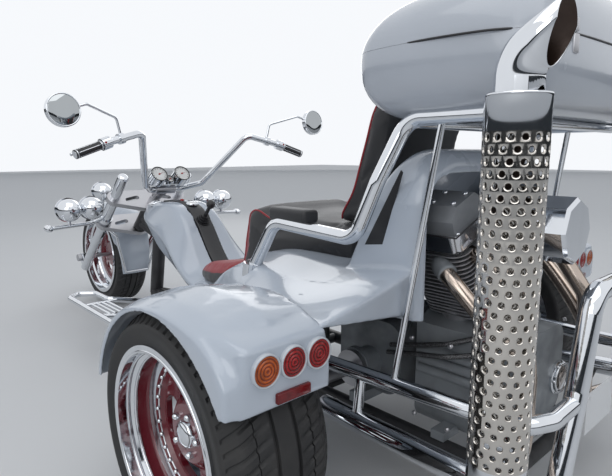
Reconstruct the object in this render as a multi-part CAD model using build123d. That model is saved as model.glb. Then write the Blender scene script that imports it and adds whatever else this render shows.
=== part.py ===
from build123d import *

import os
from math import cos, radians, sin

# A three-wheeled motor trike: one front wheel in a raked fork, two wide rear wheels, an open
# V-twin engine behind the seats, two upright exhaust stacks and a domed top box.
# Millimetres, +X forward, +Y to the rider's left, +Z up. Places are written from the ground
# just behind the rear axle, and save() moves each piece to the part's own origin, which is on
# the ground midway between the front tyre's tread and the tips of the exhaust pipes.

# Clearances
SEAT = 0.3
RUNNING_FIT = 0.05
PRESS_FIT = 0.02

# Wheels
REAR_AXLE_X = 62
WHEELBASE = 2328
FRONT_TYRE_R = 310
FRONT_TYRE_WIDTH = 190
REAR_TYRE_R = 306
REAR_TYRE_WIDTH = 272
REAR_WHEEL_Y = 748
FRONT_BEAD_R = 228
REAR_BEAD_R = 216
LIP_HEIGHT = 12
RIM_WALL = 7
RIM_WELL = 34
BEAD_SHARE = 0.035
AXLE_R = 12
HUB_R = 30
HUB_BOSS_R = 62

# Fork and steering
RAKE = 47.4
AXLE_LEAD = 58
YOKE_OFFSET = 60
LEG_Y = 190
LEG_R = 28
LEG_BELOW = 26
LEG_ABOVE = 842
LUG_HALF = 18
CLAMP_WALL = 8
STEM_R = 22
NECK_R = 36
YOKE_THICK = 30
LOWER_YOKE_S = 432
UPPER_YOKE_S = 652
STEERING_GAP = 6
LAMP_CLAMP_S = 462
SIGNAL_R = 18
STAY_CLAMP_S = 395

# Handlebar
BAR_CLAMP = (1655, 0, 764)
CLAMP_R = 24
BAR_R = 16
RISER_R = 20
GRIP_R = 19
GRIP_LENGTH = 120
GAUGE_R = 44
MIRROR_R = 65

# Front fender
FENDER_GAP = 24
BLADE = 5
BLADE_HALF = 108
STAY_R = 7

# Body shells
WALL = 8
ARCH_HALF = 282
OPENING_HALF = 318
OPENING_TOP_Z = 903
OPENING_CORNER = 105
BAY_FRONT_X = 235
BAY_TOP_Z = 560
TAIL_X = -222
SHELL_HALF = 335
SHELL_FOOT_Z = 540
SHELL_TOP_Z = 965
SHELL_REAR_X = -250
SHELL_CORNER = 150
SHELL_FRONT_ROUND = 36
SHELL_REAR_ROUND = 45
SHELL_LEAN = ((64, 540), (-162, 1000))
PASSENGER_SEAT_HALF = 250
BACKREST_HALF = 200
STRIP_HALF = 42

# Rear fenders
FENDER_WALL = 7
FENDER_LIP_Y = 889
ARCH_EDGE_R = 303
LAMP_R = 33
LAMP_PITCH = 68
LAMP_FACE_X = -249

# Frame
RAIL_Y = 210
RAIL_Z = 165
RAIL_R = 25
BACKBONE_R = 32
DOWN_TUBE_TOP = (1735, 0, 500)
DOWN_TUBE_FOOT = (1804, 0, 165)
POST_R = 14
FRAME_TAIL_X = -430

# Rails, struts and bars
GRAB_R = 19
HOOP_Y = 345
HOOP_Z = 1034
RACK_X = (-230, -420)
RACK_R = 12
RACK_Z = 1022.7
STRUT_R = 8
UPPER_BAR_Z = 385
UPPER_BAR_R = 20
LOWER_BAR_Z = 268
LOWER_BAR_R = 28
BUMPER_X = -560
BUMPER_R = 25
PLATE_BAR_X = -548
PLATE_BAR_R = 8
PLATE_THICK = 3
PLATE_PITCH = 146
PLATE_HOLE_R = 3.5

# Top box
BOX_WALL = 6
BOX_FLOOR_Z = 1035
BOX_SEAM_Z = 1190
BOX_FRONT_X = -58
BOX_REAR_X = -535
BOX_HALF = 405
LID_TOP_Z = 1352
LID_GAP = 0.6
HINGE_R = 8
HINGE_PIN_R = 4
HINGE_OUT = 9
HINGE_Y = 150

# Engine
CRANK_Z = 330
CYLINDER_X = -210
CYLINDER_LEAN = 22.5
BARREL_FOOT = 205
BARREL_R = 55
BARREL_LENGTH = 235
FIN_COUNT = 17
FIN_PITCH = 12.5
FIN_THICK = 3.6
FIN_LENGTH = 170
CASE_FRONT_X = -122
CASE_REAR_X = -330
COVER_REAR_X = -395
CASE_HALF = 165
TRANSAXLE_HALF = 150

# Exhaust stacks
STACK_X = -513
STACK_Y = 434
STACK_R = 59
STACK_WALL = 2.5
PIPE_R = 44
INLET_R = 30
INLET_FOOT_Z = 218
HEADER_R = 23
STACK_FOOT_Z = 292
STACK_TOP_Z = 1058
PIPE_TIP_X = -590

FRONT_AXLE_X = REAR_AXLE_X + WHEELBASE
FRONT_AXLE = (FRONT_AXLE_X, 0, FRONT_TYRE_R)
MID_X = (FRONT_AXLE_X + FRONT_TYRE_R + PIPE_TIP_X) / 2
LEAN = radians(RAKE)
FORWARD = (cos(LEAN), 0, sin(LEAN))
UP_STEM = (-sin(LEAN), 0, cos(LEAN))
SIDES = (("left", 1), ("right", -1))


def save(name, *solids):
    """Writes the solids of one node, moved to the part's origin."""
    flat = []
    for item in solids:
        flat += list(item.solids())
    moved = [Pos(-MID_X, 0, 0) * solid for solid in flat]
    shape = moved[0] if len(moved) == 1 else Compound(children=moved)
    export_step(shape, f"parts/{name}.step")


def biggest(shape):
    """The largest solid that a cut leaves."""
    return shape.solids().sort_by(SortBy.VOLUME)[-1]


def rod(start, end, r):
    """A round bar between two points."""
    along = Vector(*end) - Vector(*start)
    return extrude(Plane(origin=start, z_dir=along) * Circle(r), along.length)


def tube(points, r, bend):
    """A round bar that follows the points, each corner rounded to the bend radius."""
    path = FilletPolyline(*points, radius=bend)
    start = Plane(origin=path @ 0, z_dir=path % 0)
    return sweep(start * Circle(r), path=path)


def sleeve(plane, inner, outer, length):
    """A ring of that length standing on the plane."""
    return extrude(plane * (Circle(outer) - Circle(inner)), length)


def block(low, high):
    """A box between two corners."""
    size = [b - a for a, b in zip(low, high)]
    middle = [(a + b) / 2 for a, b in zip(low, high)]
    return Pos(*middle) * Box(*size)


def turned_about_y(rows, centre):
    """Turns rows of (radius, y) about the line through the centre, parallel to Y."""
    solid = revolve(make_face(Polyline(*rows, close=True)), axis=Axis.Y)
    return Pos(*centre) * solid


def turned_about_x(rows, centre):
    """Turns rows of (x, radius) about the line through the centre, parallel to X."""
    solid = revolve(make_face(Polyline(*rows, close=True)), axis=Axis.X)
    return Pos(*centre) * solid


def across(point, r, half):
    """A round bar through the point, parallel to Y."""
    return Pos(*point) * Rot(90, 0, 0) * Cylinder(r, 2 * half)


def swap_side(points, side):
    """The points with their y on the given side."""
    return [(x, side * y, z) for x, y, z in points]


def on_stem(s, offset=0.0, y=0.0):
    """A point s along the steering axis from the axle's foot, offset forward of it."""
    foot = Vector(*FRONT_AXLE) - Vector(*FORWARD) * (AXLE_LEAD + YOKE_OFFSET)
    point = foot + Vector(*UP_STEM) * s + Vector(*FORWARD) * offset
    return (point.X, y, point.Z)


def stem_plane(s, offset=0.0, y=0.0):
    """A plane across the steering axis, its x direction pointing forward."""
    return Plane(origin=on_stem(s, offset, y), x_dir=FORWARD, z_dir=UP_STEM)


def tyre(r, width, bead_r, centre):
    """A tyre: two beads, bulged walls, rounded shoulders and a nearly flat tread."""
    half = width / 2
    shoulder = 0.16 * width
    bead_half = half - BEAD_SHARE * width
    lip_r = bead_r + LIP_HEIGHT + 4
    wall_r = (r + lip_r) / 2
    low = (r - shoulder * 0.55, half - shoulder * 0.35)
    mid = (r - shoulder * 0.16, half - shoulder * 0.85)
    top = (r - 3, half - shoulder * 1.5)
    with BuildSketch() as profile:
        with BuildLine():
            Line((bead_r, -bead_half), (bead_r, bead_half))
            Line((bead_r, bead_half), (lip_r, bead_half))
            ThreePointArc((lip_r, bead_half), (wall_r, half), low)
            ThreePointArc(low, mid, top)
            ThreePointArc(top, (r, 0), (top[0], -top[1]))
            ThreePointArc((top[0], -top[1]), (mid[0], -mid[1]), (low[0], -low[1]))
            ThreePointArc((low[0], -low[1]), (wall_r, -half), (lip_r, -bead_half))
            Line((lip_r, -bead_half), (bead_r, -bead_half))
        make_face()
    return Pos(*centre) * revolve(profile.sketch, axis=Axis.Y)


def rim(width, bead_r, centre, side):
    """A deep-dished rim with two steps on its open side and a plain inner lip."""
    half = width / 2 - BEAD_SHARE * width
    lip = half + SEAT
    bead = bead_r - SEAT
    inner = bead - RIM_WALL
    lip_r = bead_r + LIP_HEIGHT
    step_r = bead_r - 18
    rows = (
        (bead, -half), (lip_r, -lip), (lip_r, -lip - RIM_WALL), (inner - 14, -lip - RIM_WALL),
        (inner - RIM_WELL, -lip + 20), (inner - RIM_WELL, lip - 78), (inner - 14, lip - 70),
        (step_r, lip - 62), (step_r, lip - 30), (inner, lip - 22), (inner, lip + RIM_WALL),
        (lip_r, lip + RIM_WALL), (lip_r, lip), (bead, half),
    )
    return turned_about_y([(r, side * y) for r, y in rows], centre)


def wheel_centre(centre, side, bead_r, face_y, thick, spokes, bore):
    """A dished centre: a hub boss, a disc with oval windows between its spokes and an outer ring."""
    r = bead_r - RIM_WALL - RIM_WELL - 2 * SEAT
    rows = (
        (bore, face_y - 70), (HUB_BOSS_R, face_y - 70), (HUB_BOSS_R, face_y - thick), (r, face_y - thick),
        (r, face_y + 10), (r - 18, face_y + 10), (r - 24, face_y), (95, face_y), (70, face_y + 22),
        (bore, face_y + 22),
    )
    disc = turned_about_y([(row_r, side * y) for row_r, y in rows], (0, 0, 0))
    window_r = 0.62 * r
    window_length = 0.72 * window_r * radians(360 / spokes)
    window = Plane.XZ * Pos(window_r, 0, 0) * SlotOverall(window_length, 0.36 * r, rotation=90)
    cutter = extrude(window, amount=400, both=True)
    for index in range(spokes):
        disc -= Rot(0, 360 * index / spokes, 0) * cutter
    return Pos(*centre) * disc


def wheels():
    save("front_tyre", tyre(FRONT_TYRE_R, FRONT_TYRE_WIDTH, FRONT_BEAD_R, FRONT_AXLE))
    save("front_rim", rim(FRONT_TYRE_WIDTH, FRONT_BEAD_R, FRONT_AXLE, 1))
    save("front_wheel_centre", wheel_centre(FRONT_AXLE, 1, FRONT_BEAD_R, 0, 14, 7, AXLE_R + RUNNING_FIT))
    for name, side in SIDES:
        centre = (REAR_AXLE_X, side * REAR_WHEEL_Y, REAR_TYRE_R)
        save(f"rear_tyre_{name}", tyre(REAR_TYRE_R, REAR_TYRE_WIDTH, REAR_BEAD_R, centre))
        save(f"rear_rim_{name}", rim(REAR_TYRE_WIDTH, REAR_BEAD_R, centre, side))
        save(f"rear_wheel_centre_{name}", wheel_centre(centre, side, REAR_BEAD_R, 35, 16, 5, HUB_R + RUNNING_FIT))


def fork_leg(side):
    """A fork tube with a domed cap and a lug that carries the axle ahead of it."""
    leg = extrude(stem_plane(-LEG_BELOW, YOKE_OFFSET, side * LEG_Y) * Circle(LEG_R), LEG_BELOW + LEG_ABOVE)
    leg = fillet(leg.edges().sort_by(Axis.Z)[-1], 0.6 * LEG_R)
    lug_plane = Plane(origin=on_stem(0, YOKE_OFFSET + AXLE_LEAD / 2, side * LEG_Y), x_dir=FORWARD, z_dir=(0, 1, 0))
    lug = extrude(lug_plane * SlotOverall(AXLE_LEAD + 52, 52), LUG_HALF, both=True)
    return leg + lug


def yoke_plate():
    """A triangular yoke plate, open between the legs and the stem."""
    outline = (
        Pos(YOKE_OFFSET, LEG_Y) * Circle(LEG_R + 14)
        + Pos(YOKE_OFFSET, -LEG_Y) * Circle(LEG_R + 14)
        + Circle(STEM_R + 18)
    )
    plate = make_hull(outline.edges())
    for side in (1, -1):
        plate -= Pos(YOKE_OFFSET - 16, side * 96) * Rot(0, 0, side * 12) * SlotOverall(84, 26, rotation=90)
        plate -= Pos(YOKE_OFFSET, side * LEG_Y) * Circle(LEG_R + PRESS_FIT)
    return plate


def fork():
    axle_bore = across(FRONT_AXLE, AXLE_R + RUNNING_FIT, LEG_Y + 60)
    save("fork_legs", *[fork_leg(side) - axle_bore for side in (1, -1)])
    axle = across(FRONT_AXLE, AXLE_R, LEG_Y + LUG_HALF + 10)
    for side in (1, -1):
        nut_y = side * (LEG_Y + LUG_HALF + 11)
        axle += across((FRONT_AXLE_X, nut_y, FRONT_TYRE_R), 22, 10)
    save("front_axle", axle)

    bar_hole = across(BAR_CLAMP, BAR_R + PRESS_FIT, 200)
    yokes = extrude(stem_plane(LOWER_YOKE_S) * Circle(STEM_R), UPPER_YOKE_S - LOWER_YOKE_S)
    for s in (LOWER_YOKE_S, UPPER_YOKE_S):
        yokes += extrude(stem_plane(s - YOKE_THICK / 2) * yoke_plate(), YOKE_THICK)
    riser_foot = on_stem(UPPER_YOKE_S + 80)
    yokes += rod(on_stem(UPPER_YOKE_S), riser_foot, RISER_R + 4)
    yokes += rod(riser_foot, BAR_CLAMP, RISER_R)
    yokes += across(BAR_CLAMP, CLAMP_R, 55)
    save("fork_yokes", yokes - bar_hole)

    boot_line = Vector(*BAR_CLAMP) - Vector(*riser_foot)
    ribs = 5
    pitch = 14
    start = Vector(*riser_foot) + boot_line.normalized() * 22
    boot = None
    for index in range(ribs):
        foot = start + boot_line.normalized() * (pitch * index)
        rib = sleeve(Plane(origin=foot, z_dir=boot_line), RISER_R, RISER_R + 9, pitch / 2)
        rib += sleeve(Plane(origin=foot, z_dir=boot_line), RISER_R, RISER_R + 5, pitch)
        boot = rib if boot is None else boot + rib
    save("riser_boot", biggest(boot - across(BAR_CLAMP, CLAMP_R, 56)))


BAR_POINTS = (
    (1655, 90, 764), (1540, 165, 796), (1290, 290, 1046), (1254, 447, 1006), (1228, 610, 950),
)


def handlebar():
    left = list(BAR_POINTS)
    right = [(x, -y, z) for x, y, z in reversed(left)]
    bar = tube(right + left, BAR_R, 45)
    save("handlebar", bar)

    grips, mirrors, levers = [], [], []
    for side in (1, -1):
        shoulder, inner, outer = [Vector(x, side * y, z) for x, y, z in BAR_POINTS[2:]]
        along = (outer - inner).normalized()
        grip_plane = Plane(origin=inner + along * 52, z_dir=along)
        grips.append(sleeve(grip_plane, BAR_R + PRESS_FIT, GRIP_R, GRIP_LENGTH))

        housing = sleeve(Plane(origin=inner + along * 8, z_dir=along), BAR_R + PRESS_FIT, BAR_R + 10, 40)
        pivot = inner + along * 26 + Vector(38, 0, 2)
        housing += rod(inner + along * 26 + Vector(20, 0, 1), pivot, 9)
        blade = tube([tuple(pivot), tuple(pivot + along * 30 + Vector(14, 0, 0)),
                      tuple(outer + Vector(46, 0, 0))], 6, 20)
        levers.append(housing + blade)

        reach = (inner - shoulder).normalized()
        seat = shoulder + reach * 116
        collar = sleeve(Plane(origin=seat - reach * 12, z_dir=reach), BAR_R + PRESS_FIT, BAR_R + 7, 24)
        foot = seat + Vector(0, 0, BAR_R + 4)
        stalk = tube([tuple(foot), (1262, side * 415, 1105), (1200, side * 560, 1150), (1190, side * 640, 1125)], 6, 25)
        head = extrude(Plane(origin=(1175, side * 657, 1121), z_dir=(-1, 0, 0.08)) * Circle(MIRROR_R), -22)
        mirrors.append(stalk + head + collar)
    save("grips", *grips)
    save("hand_levers", *levers)
    save("mirrors", *mirrors)

    seat_z = BAR_CLAMP[2] + CLAMP_R + SEAT
    gauges = block((1590, -90, seat_z), (1680, 90, seat_z + 5))
    # each dial: y, z and x of its face, its radius and its depth
    for y, z, x, r, depth in ((66, 849, 1577, GAUGE_R, 56), (-66, 849, 1577, GAUGE_R, 56), (0, 821, 1590, 22, 40)):
        face = Plane(origin=(x, y, z), z_dir=(-cos(radians(35)), 0, sin(radians(35))))
        gauges += extrude(face * Circle(r), -depth)
        gauges += sleeve(face, r - 4, r, 3)
        gauges += rod((1620, y, seat_z + 2), (1612, y, z - 15), 8)
    save("gauges", gauges)


def bullet_lamp(x, y, z, r):
    """A bullet-shaped lamp: a domed shell at the back, a short drum and a bezel in front."""
    shell = split(Pos(x, y, z) * Sphere(r), Plane(origin=(x, y, z), z_dir=(1, 0, 0)), keep=Keep.BOTTOM)
    rows = ((0, 0), (0, r), (22, r), (22, r + 4), (32, r + 4), (32, r - 4), (27, r - 4), (27, 0))
    return shell + turned_about_x(rows, (x, y, z))


# bullet lamps on each side: x, y, z and radius
LOWER_LAMPS = ((1791, 458, 672, 58), (1795, 343, 675, 58))
UPPER_LAMP = (2010, 195, 742, 50)


def front_lamps():
    lamps, bars, signals = [], [], []
    for side in (1, -1):
        own = [bullet_lamp(x, side * y, z, r) for x, y, z, r in (*LOWER_LAMPS, UPPER_LAMP)]
        lamps += own
        leg_space = extrude(stem_plane(0, YOKE_OFFSET, side * LEG_Y) * Circle(LEG_R + PRESS_FIT), LEG_ABOVE)
        bar = sleeve(stem_plane(LAMP_CLAMP_S, YOKE_OFFSET, side * LEG_Y), LEG_R + PRESS_FIT, LEG_R + CLAMP_WALL, 24)
        x, _, z = on_stem(LAMP_CLAMP_S + 12, YOKE_OFFSET)
        bar += tube([(x, side * (LEG_Y + LEG_R - 2), z), (1840, side * 330, 592), (1785, side * 550, 588)], 10, 60)
        for px, py, pz, r in LOWER_LAMPS:
            bar += rod((px + 15, side * py, 592), (px + 15, side * py, pz - r + 6), 8)
        lamp_x, lamp_y, lamp_z, lamp_r = UPPER_LAMP
        bar += rod((x + 28, side * lamp_y, z + 20), (x + 22, side * lamp_y, lamp_z - lamp_r + 12), 9)
        bar -= leg_space
        for lamp in own:
            bar -= lamp
        bars.append(biggest(bar))
        rows = ((-26, 0), (-24, 9), (-16, 15), (0, SIGNAL_R), (22, SIGNAL_R), (22, 0))
        signal = turned_about_x(rows, (1782, side * (550 + SIGNAL_R - 4), 588))
        signals.append(biggest(signal - bars[-1]))
    save("lamp_bar", *bars)
    save("front_lamps", *lamps, *signals)


def fender_blade():
    """The front fender: a crowned blade with side flanges, narrower towards its rear end."""
    crown = FRONT_TYRE_R + FENDER_GAP + BLADE
    edge = crown - 14
    skirt = crown - 50
    with BuildSketch() as profile:
        with BuildLine():
            Line((skirt, -BLADE_HALF), (edge, -BLADE_HALF + 2))
            ThreePointArc((edge, -BLADE_HALF + 2), (crown, 0), (edge, BLADE_HALF - 2))
            Line((edge, BLADE_HALF - 2), (skirt, BLADE_HALF))
            Line((skirt, BLADE_HALF), (skirt, BLADE_HALF - BLADE))
            Line((skirt, BLADE_HALF - BLADE), (edge - BLADE, BLADE_HALF - 2 - BLADE))
            ThreePointArc(
                (edge - BLADE, BLADE_HALF - 2 - BLADE), (crown - BLADE, 0), (edge - BLADE, -BLADE_HALF + 2 + BLADE))
            Line((edge - BLADE, -BLADE_HALF + 2 + BLADE), (skirt, -BLADE_HALF + BLADE))
            Line((skirt, -BLADE_HALF + BLADE), (skirt, -BLADE_HALF))
        make_face()
    ring = revolve(profile.sketch, axis=Axis.Y)
    reach = 700
    front, rear = radians(50), radians(193)
    wedge = make_face(Polyline(
        (0, 0), (reach * cos(front), reach * sin(front)), (0, reach), (-reach, reach),
        (reach * cos(rear), reach * sin(rear)), close=True))
    blade = Pos(*FRONT_AXLE) * (ring & extrude(Plane.XZ * wedge, amount=200, both=True))
    for side in (1, -1):
        taper = Plane.YZ * make_face(Polyline(
            (side * (BLADE_HALF + 1), 470), (side * 78, 225), (side * 200, 200), (side * 200, 470), close=True))
        blade -= Pos(2000, 0, 0) * extrude(taper, 150)
    return biggest(blade)


def fender_stays(blade):
    """Tubes from a clamp on each leg back round the tyre and down to the fender's rear edge."""
    stays = None
    seat_r = FRONT_TYRE_R + FENDER_GAP + BLADE + STAY_R + SEAT
    foot_x = FRONT_AXLE_X + seat_r * cos(radians(190))
    foot_z = FRONT_TYRE_R + seat_r * sin(radians(190))
    for side in (1, -1):
        clamp = sleeve(stem_plane(STAY_CLAMP_S, YOKE_OFFSET, side * LEG_Y), LEG_R + PRESS_FIT, LEG_R + CLAMP_WALL, 22)
        x, _, z = on_stem(STAY_CLAMP_S + 11, YOKE_OFFSET)
        knee = (2010, side * 132, 480)
        stay = tube([(x - 24, side * (LEG_Y - 16), z - 20), knee, (2020, side * 118, 420), (foot_x, side * 70, foot_z)],
                    STAY_R, 30)
        stay = (clamp + stay) - fork_leg(side)
        stays = stay if stays is None else stays + stay
    stays += across((foot_x, 0, foot_z), STAY_R, 74)
    return biggest(stays - blade)


def section(x, rows):
    """A body section across the middle plane, from rows of (half width, height, corner radius) going up."""
    corners = list(rows) + [(-y, z, r) for y, z, r in reversed(rows)]
    outline = FilletPolyline(*[(y, z) for y, z, _ in corners], radius=[r for *_, r in corners], close=True)
    return Plane.YZ.offset(x) * make_face(outline)


def drawn_in(rows, wall):
    """Body rows moved in by a wall, each corner to where its two moved sides meet."""
    points = [(-rows[0][0], rows[0][1])] + [(y, z) for y, z, _ in rows] + [(-rows[-1][0], rows[-1][1])]
    moved = []
    for index, (*_, r) in enumerate(rows, start=1):
        before, here, after = [Vector(*point) for point in points[index - 1:index + 2]]
        first = (here - before).normalized()
        second = (after - here).normalized()
        side = Vector(-first.Y - second.Y, first.X + second.X)
        corner = here + side * (wall / (1 + first.dot(second)))
        moved.append((corner.X, corner.Y, max(r - wall, 2)))
    return moved


# nose and tank, front to back: x, then (half width, height, corner radius) at the foot, waist and top
NOSE_ROWS = (
    (1745, (50, 585, 8), (78, 628, 16), (52, 664, 20)),
    (1680, (70, 530, 12), (118, 616, 26), (80, 697, 26)),
    (1540, (95, 448, 16), (148, 588, 30), (95, 706, 30)),
    (1340, (115, 375, 20), (178, 520, 32), (100, 680, 32)),
    (1240, (122, 330, 20), (198, 462, 32), (105, 584, 28)),
    (1140, (128, 322, 20), (210, 395, 26), (118, 458, 20)),
    (1040, (130, 318, 16), (215, 356, 18), (130, 412, 16)),
)
# tub under the seats, front to back: x, then (half width, height, corner radius) at the foot,
# the widest edge, the shoulder and the top
TUB_ROWS = (
    (1039, (130, 318, 10), (215, 352, 12), (200, 384, 12), (130, 402, 12)),
    (800, (180, 290, 14), (300, 400, 14), (270, 432, 14), (225, 441, 14)),
    (640, (230, 265, 16), (380, 455, 14), (340, 496, 16), (280, 508, 16)),
    (389, (290, 330, 16), (455, 540, 9), (415, 600, 20), (300, 630, 20)),
    (171, (310, 430, 16), (532, 578, 4), (440, 616, 24), (320, 645, 20)),
    (-73, (320, 510, 16), (619, 592, 3), (450, 630, 24), (335, 655, 20)),
    (TAIL_X, (300, 556, 12), (667, 596, 3), (440, 642, 24), (345, 665, 20)),
)
CONSOLE_TOP = ((1620, 704), (1540, 709), (1340, 684), (1240, 598))
TUNNEL_HALF = 42


def body_shell(table, front_grow, rear_grow):
    """The loft through a body's rows and the hollow that leaves its wall."""
    outer = loft([section(x, rows) for x, *rows in table])
    inner_rows = [[x, *drawn_in(rows, WALL)] for x, *rows in table]
    inner_rows[0][0] += front_grow
    inner_rows[-1][0] += rear_grow
    inner = loft([section(x, rows) for x, *rows in inner_rows])
    return outer, inner


def strip_solid():
    """The console strip that lies along the top of the tank."""
    under = [(x, z - 20) for x, z in reversed(CONSOLE_TOP)]
    return extrude(Plane.XZ * make_face(Polyline(*CONSOLE_TOP, *under, close=True)), amount=STRIP_HALF, both=True)


def tombstone(grow):
    """The upright outline of the tall shell, with rounded top corners."""
    half = SHELL_HALF + grow
    top = SHELL_TOP_Z + grow
    face = make_face(Polyline((-half, SHELL_FOOT_Z), (half, SHELL_FOOT_Z), (half, top), (-half, top), close=True))
    return Plane.YZ * fillet(face.vertices().sort_by(Axis.Y)[-2:], SHELL_CORNER + grow)


def rear_opening():
    """The outline of the opening in the tall shell's back, with rounded top corners."""
    half = OPENING_HALF
    face = make_face(Polyline((-half, 0), (half, 0), (half, OPENING_TOP_Z), (-half, OPENING_TOP_Z), close=True))
    return Plane.YZ * fillet(face.vertices().sort_by(Axis.Y)[-2:], OPENING_CORNER)


def tall_shell(grow):
    """The tall shell round the engine, its front leaning back, drawn in by a negative grow."""
    (low_x, low_z), (high_x, high_z) = SHELL_LEAN
    lean = make_face(Polyline(
        (low_x + grow, low_z), (high_x + grow, high_z), (SHELL_REAR_X - grow, high_z), (SHELL_REAR_X - grow, low_z),
        close=True))
    solid = Pos(SHELL_REAR_X - 100, 0, 0) * extrude(tombstone(grow), 600)
    solid = solid & extrude(Plane.XZ * lean, amount=600, both=True)
    front = solid.faces().sort_by(Axis.X)[-1]
    solid = fillet(front.edges().sort_by(Axis.Z)[1:], SHELL_FRONT_ROUND + grow)
    rear = solid.faces().sort_by(Axis.X)[0]
    return fillet(rear.edges().sort_by(Axis.Z)[1:], SHELL_REAR_ROUND + grow)


def body():
    tank, tank_hollow = body_shell(NOSE_ROWS, -WALL, -1)
    tunnel = block((1000, -TUNNEL_HALF, 0), (1800, TUNNEL_HALF, 640))
    tub, tub_hollow = body_shell(TUB_ROWS, -WALL, WALL)
    tub_tunnel = block((850, -TUNNEL_HALF, 0), (1100, TUNNEL_HALF, 360))
    outer = tub + tall_shell(0)
    arch = block((-700, -ARCH_HALF, 0), (BAY_FRONT_X, ARCH_HALF, BAY_TOP_Z))
    arch += Pos(SHELL_REAR_X - 210, 0, 0) * extrude(rear_opening(), 210 + WALL + 2)
    front = tank - tank_hollow - tunnel - strip_solid()
    rear = outer - tub_hollow - tall_shell(-WALL) - arch - tub_tunnel
    save("front_body", biggest(front))
    save("rear_body", biggest(rear))
    save("console", strip_solid())
    seats(tub, biggest(front))
    return outer


def seats(tub, tank):
    """The plain solids of the rider's seat, the passenger's seat and the backrest."""
    rider = loft([section(x, rows) for x, *rows in (
        (1036, (150, 380, 14), (188, 436, 14), (150, 470, 14)),
        (860, (190, 400, 14), (255, 468, 14), (220, 508, 14)),
        (660, (220, 430, 14), (285, 512, 14), (250, 540, 14)),
    )])
    rider = biggest(rider - tub)
    save("rider_seat", rider)
    hump = Polyline((40, 640), (40, 735), (470, 745), (545, 768), (590, 740), (640, 560), (640, 520), close=True)
    pad = extrude(Plane.XZ * make_face(hump), amount=PASSENGER_SEAT_HALF, both=True)
    save("passenger_seat", biggest(pad - tub - rider))
    back = Polyline(
        (60, 730), (190, 730), (128, 815), (92, 920), (42, 1092), (22, 1123), (-30, 1123), (-46, 1092), (0, 920),
        (30, 815), close=True)
    cushion = extrude(Plane.XZ * make_face(back), amount=BACKREST_HALF, both=True)
    save("backrest", biggest(fillet(cushion.edges().filter_by(Axis.Y).sort_by(Axis.Z)[-2:], 18) - pad))
    (high_x, high_z), (low_x, low_z) = CONSOLE_TOP[2:]
    slope = Vector(high_x - low_x, 0, high_z - low_z).normalized()
    normal = Vector(-slope.Z, 0, slope.X)
    gaiter_foot = Vector(low_x, 0, low_z) + slope * 46
    lever = rod(gaiter_foot, (1205, 0, 706), 9) + Pos(1200, 0, 712) * Sphere(21)
    for index in range(4):
        foot = gaiter_foot + normal * (10 * index)
        lever += extrude(Plane(origin=foot, z_dir=normal) * Circle(38 - 6 * index), 8)
    save("shift_lever", biggest(lever - tank))


# side profiles of the rear fender, inner edge to outer lip: y, then front edge, front arc middle,
# front top, top arc middle, rear top, tail arc middle, tail corner and tail foot, each as (x, z)
FENDER_ROWS = (
    (430, (402, 500), (388, 530), (300, 556), (145, 566), (-60, 590), (-150, 596), (-200, 598), (-204, 590)),
    (622, (386, 412), (330, 530), (172, 614), (40, 634), (-100, 628), (-183, 598), (-228, 545), (-229, 463)),
    (740, (384, 388), (322, 542), (170, 630), (40, 652), (-100, 642), (-185, 608), (-229, 545), (-229, 463)),
    (840, (382, 376), (318, 532), (165, 620), (40, 640), (-100, 630), (-183, 598), (-228, 538), (-229, 463)),
    (FENDER_LIP_Y, (378, 372), (308, 515), (160, 606), (40, 624), (-95, 612), (-174, 578), (-222, 525), (-222, 468)),
)


def fender_profile(side, y, points, wall):
    """A closed side profile of the fender's shell, as thick as its wall."""
    axle = Vector(REAR_AXLE_X, REAR_TYRE_R)

    def moved_in(point):
        """The point moved towards the wheel by the wall."""
        place = Vector(*point)
        return place + (axle - place).normalized() * wall

    outer = [Vector(*point) for point in points]
    inner = [moved_in(point) for point in points[:-1]] + [outer[-1] + Vector(wall, 0)]
    with BuildSketch() as face:
        with BuildLine():
            for line in (outer, inner):
                ThreePointArc(*line[0:3])
                ThreePointArc(*line[2:5])
                ThreePointArc(*line[4:7])
                Line(line[6], line[7])
            Line(outer[0], inner[0])
            Line(outer[-1], inner[-1])
        make_face()
    return Plane(origin=(0, side * y, 0), x_dir=(1, 0, 0), z_dir=(0, -1, 0)) * face.sketch


def fenders(tub):
    """A wide crowned shell over each rear tyre, with a flat tail panel and a narrow outer wall."""
    fender_solids = {}
    for name, side in SIDES:
        profiles = [fender_profile(side, y, points, FENDER_WALL) for y, *points in FENDER_ROWS]
        shell = loft(profiles, ruled=True)
        inner_y = FENDER_ROWS[1][0]
        under_tub = block((-400, 300, 0), (-100, inner_y, 800))
        shell -= under_tub if side > 0 else mirror(under_tub, about=Plane.XZ)
        front, front_mid, front_top, top_mid, rear_top, tail_mid, corner, foot = FENDER_ROWS[-1][1:]
        with BuildSketch() as lip:
            with BuildLine():
                ThreePointArc(front, front_mid, front_top)
                ThreePointArc(front_top, top_mid, rear_top)
                ThreePointArc(rear_top, tail_mid, corner)
                Polyline(corner, foot, front)
            make_face()
        lip_plane = Plane(origin=(0, side * FENDER_LIP_Y, 0), x_dir=(1, 0, 0), z_dir=(0, -1, 0))
        wall = extrude(lip_plane * lip.sketch, side * FENDER_WALL)
        wall -= across((REAR_AXLE_X, side * FENDER_LIP_Y, REAR_TYRE_R), ARCH_EDGE_R, 60)
        solid = biggest((shell + wall) - tub)
        save(f"fender_{name}", solid)
        fender_solids[name] = solid
    return fender_solids


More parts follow.
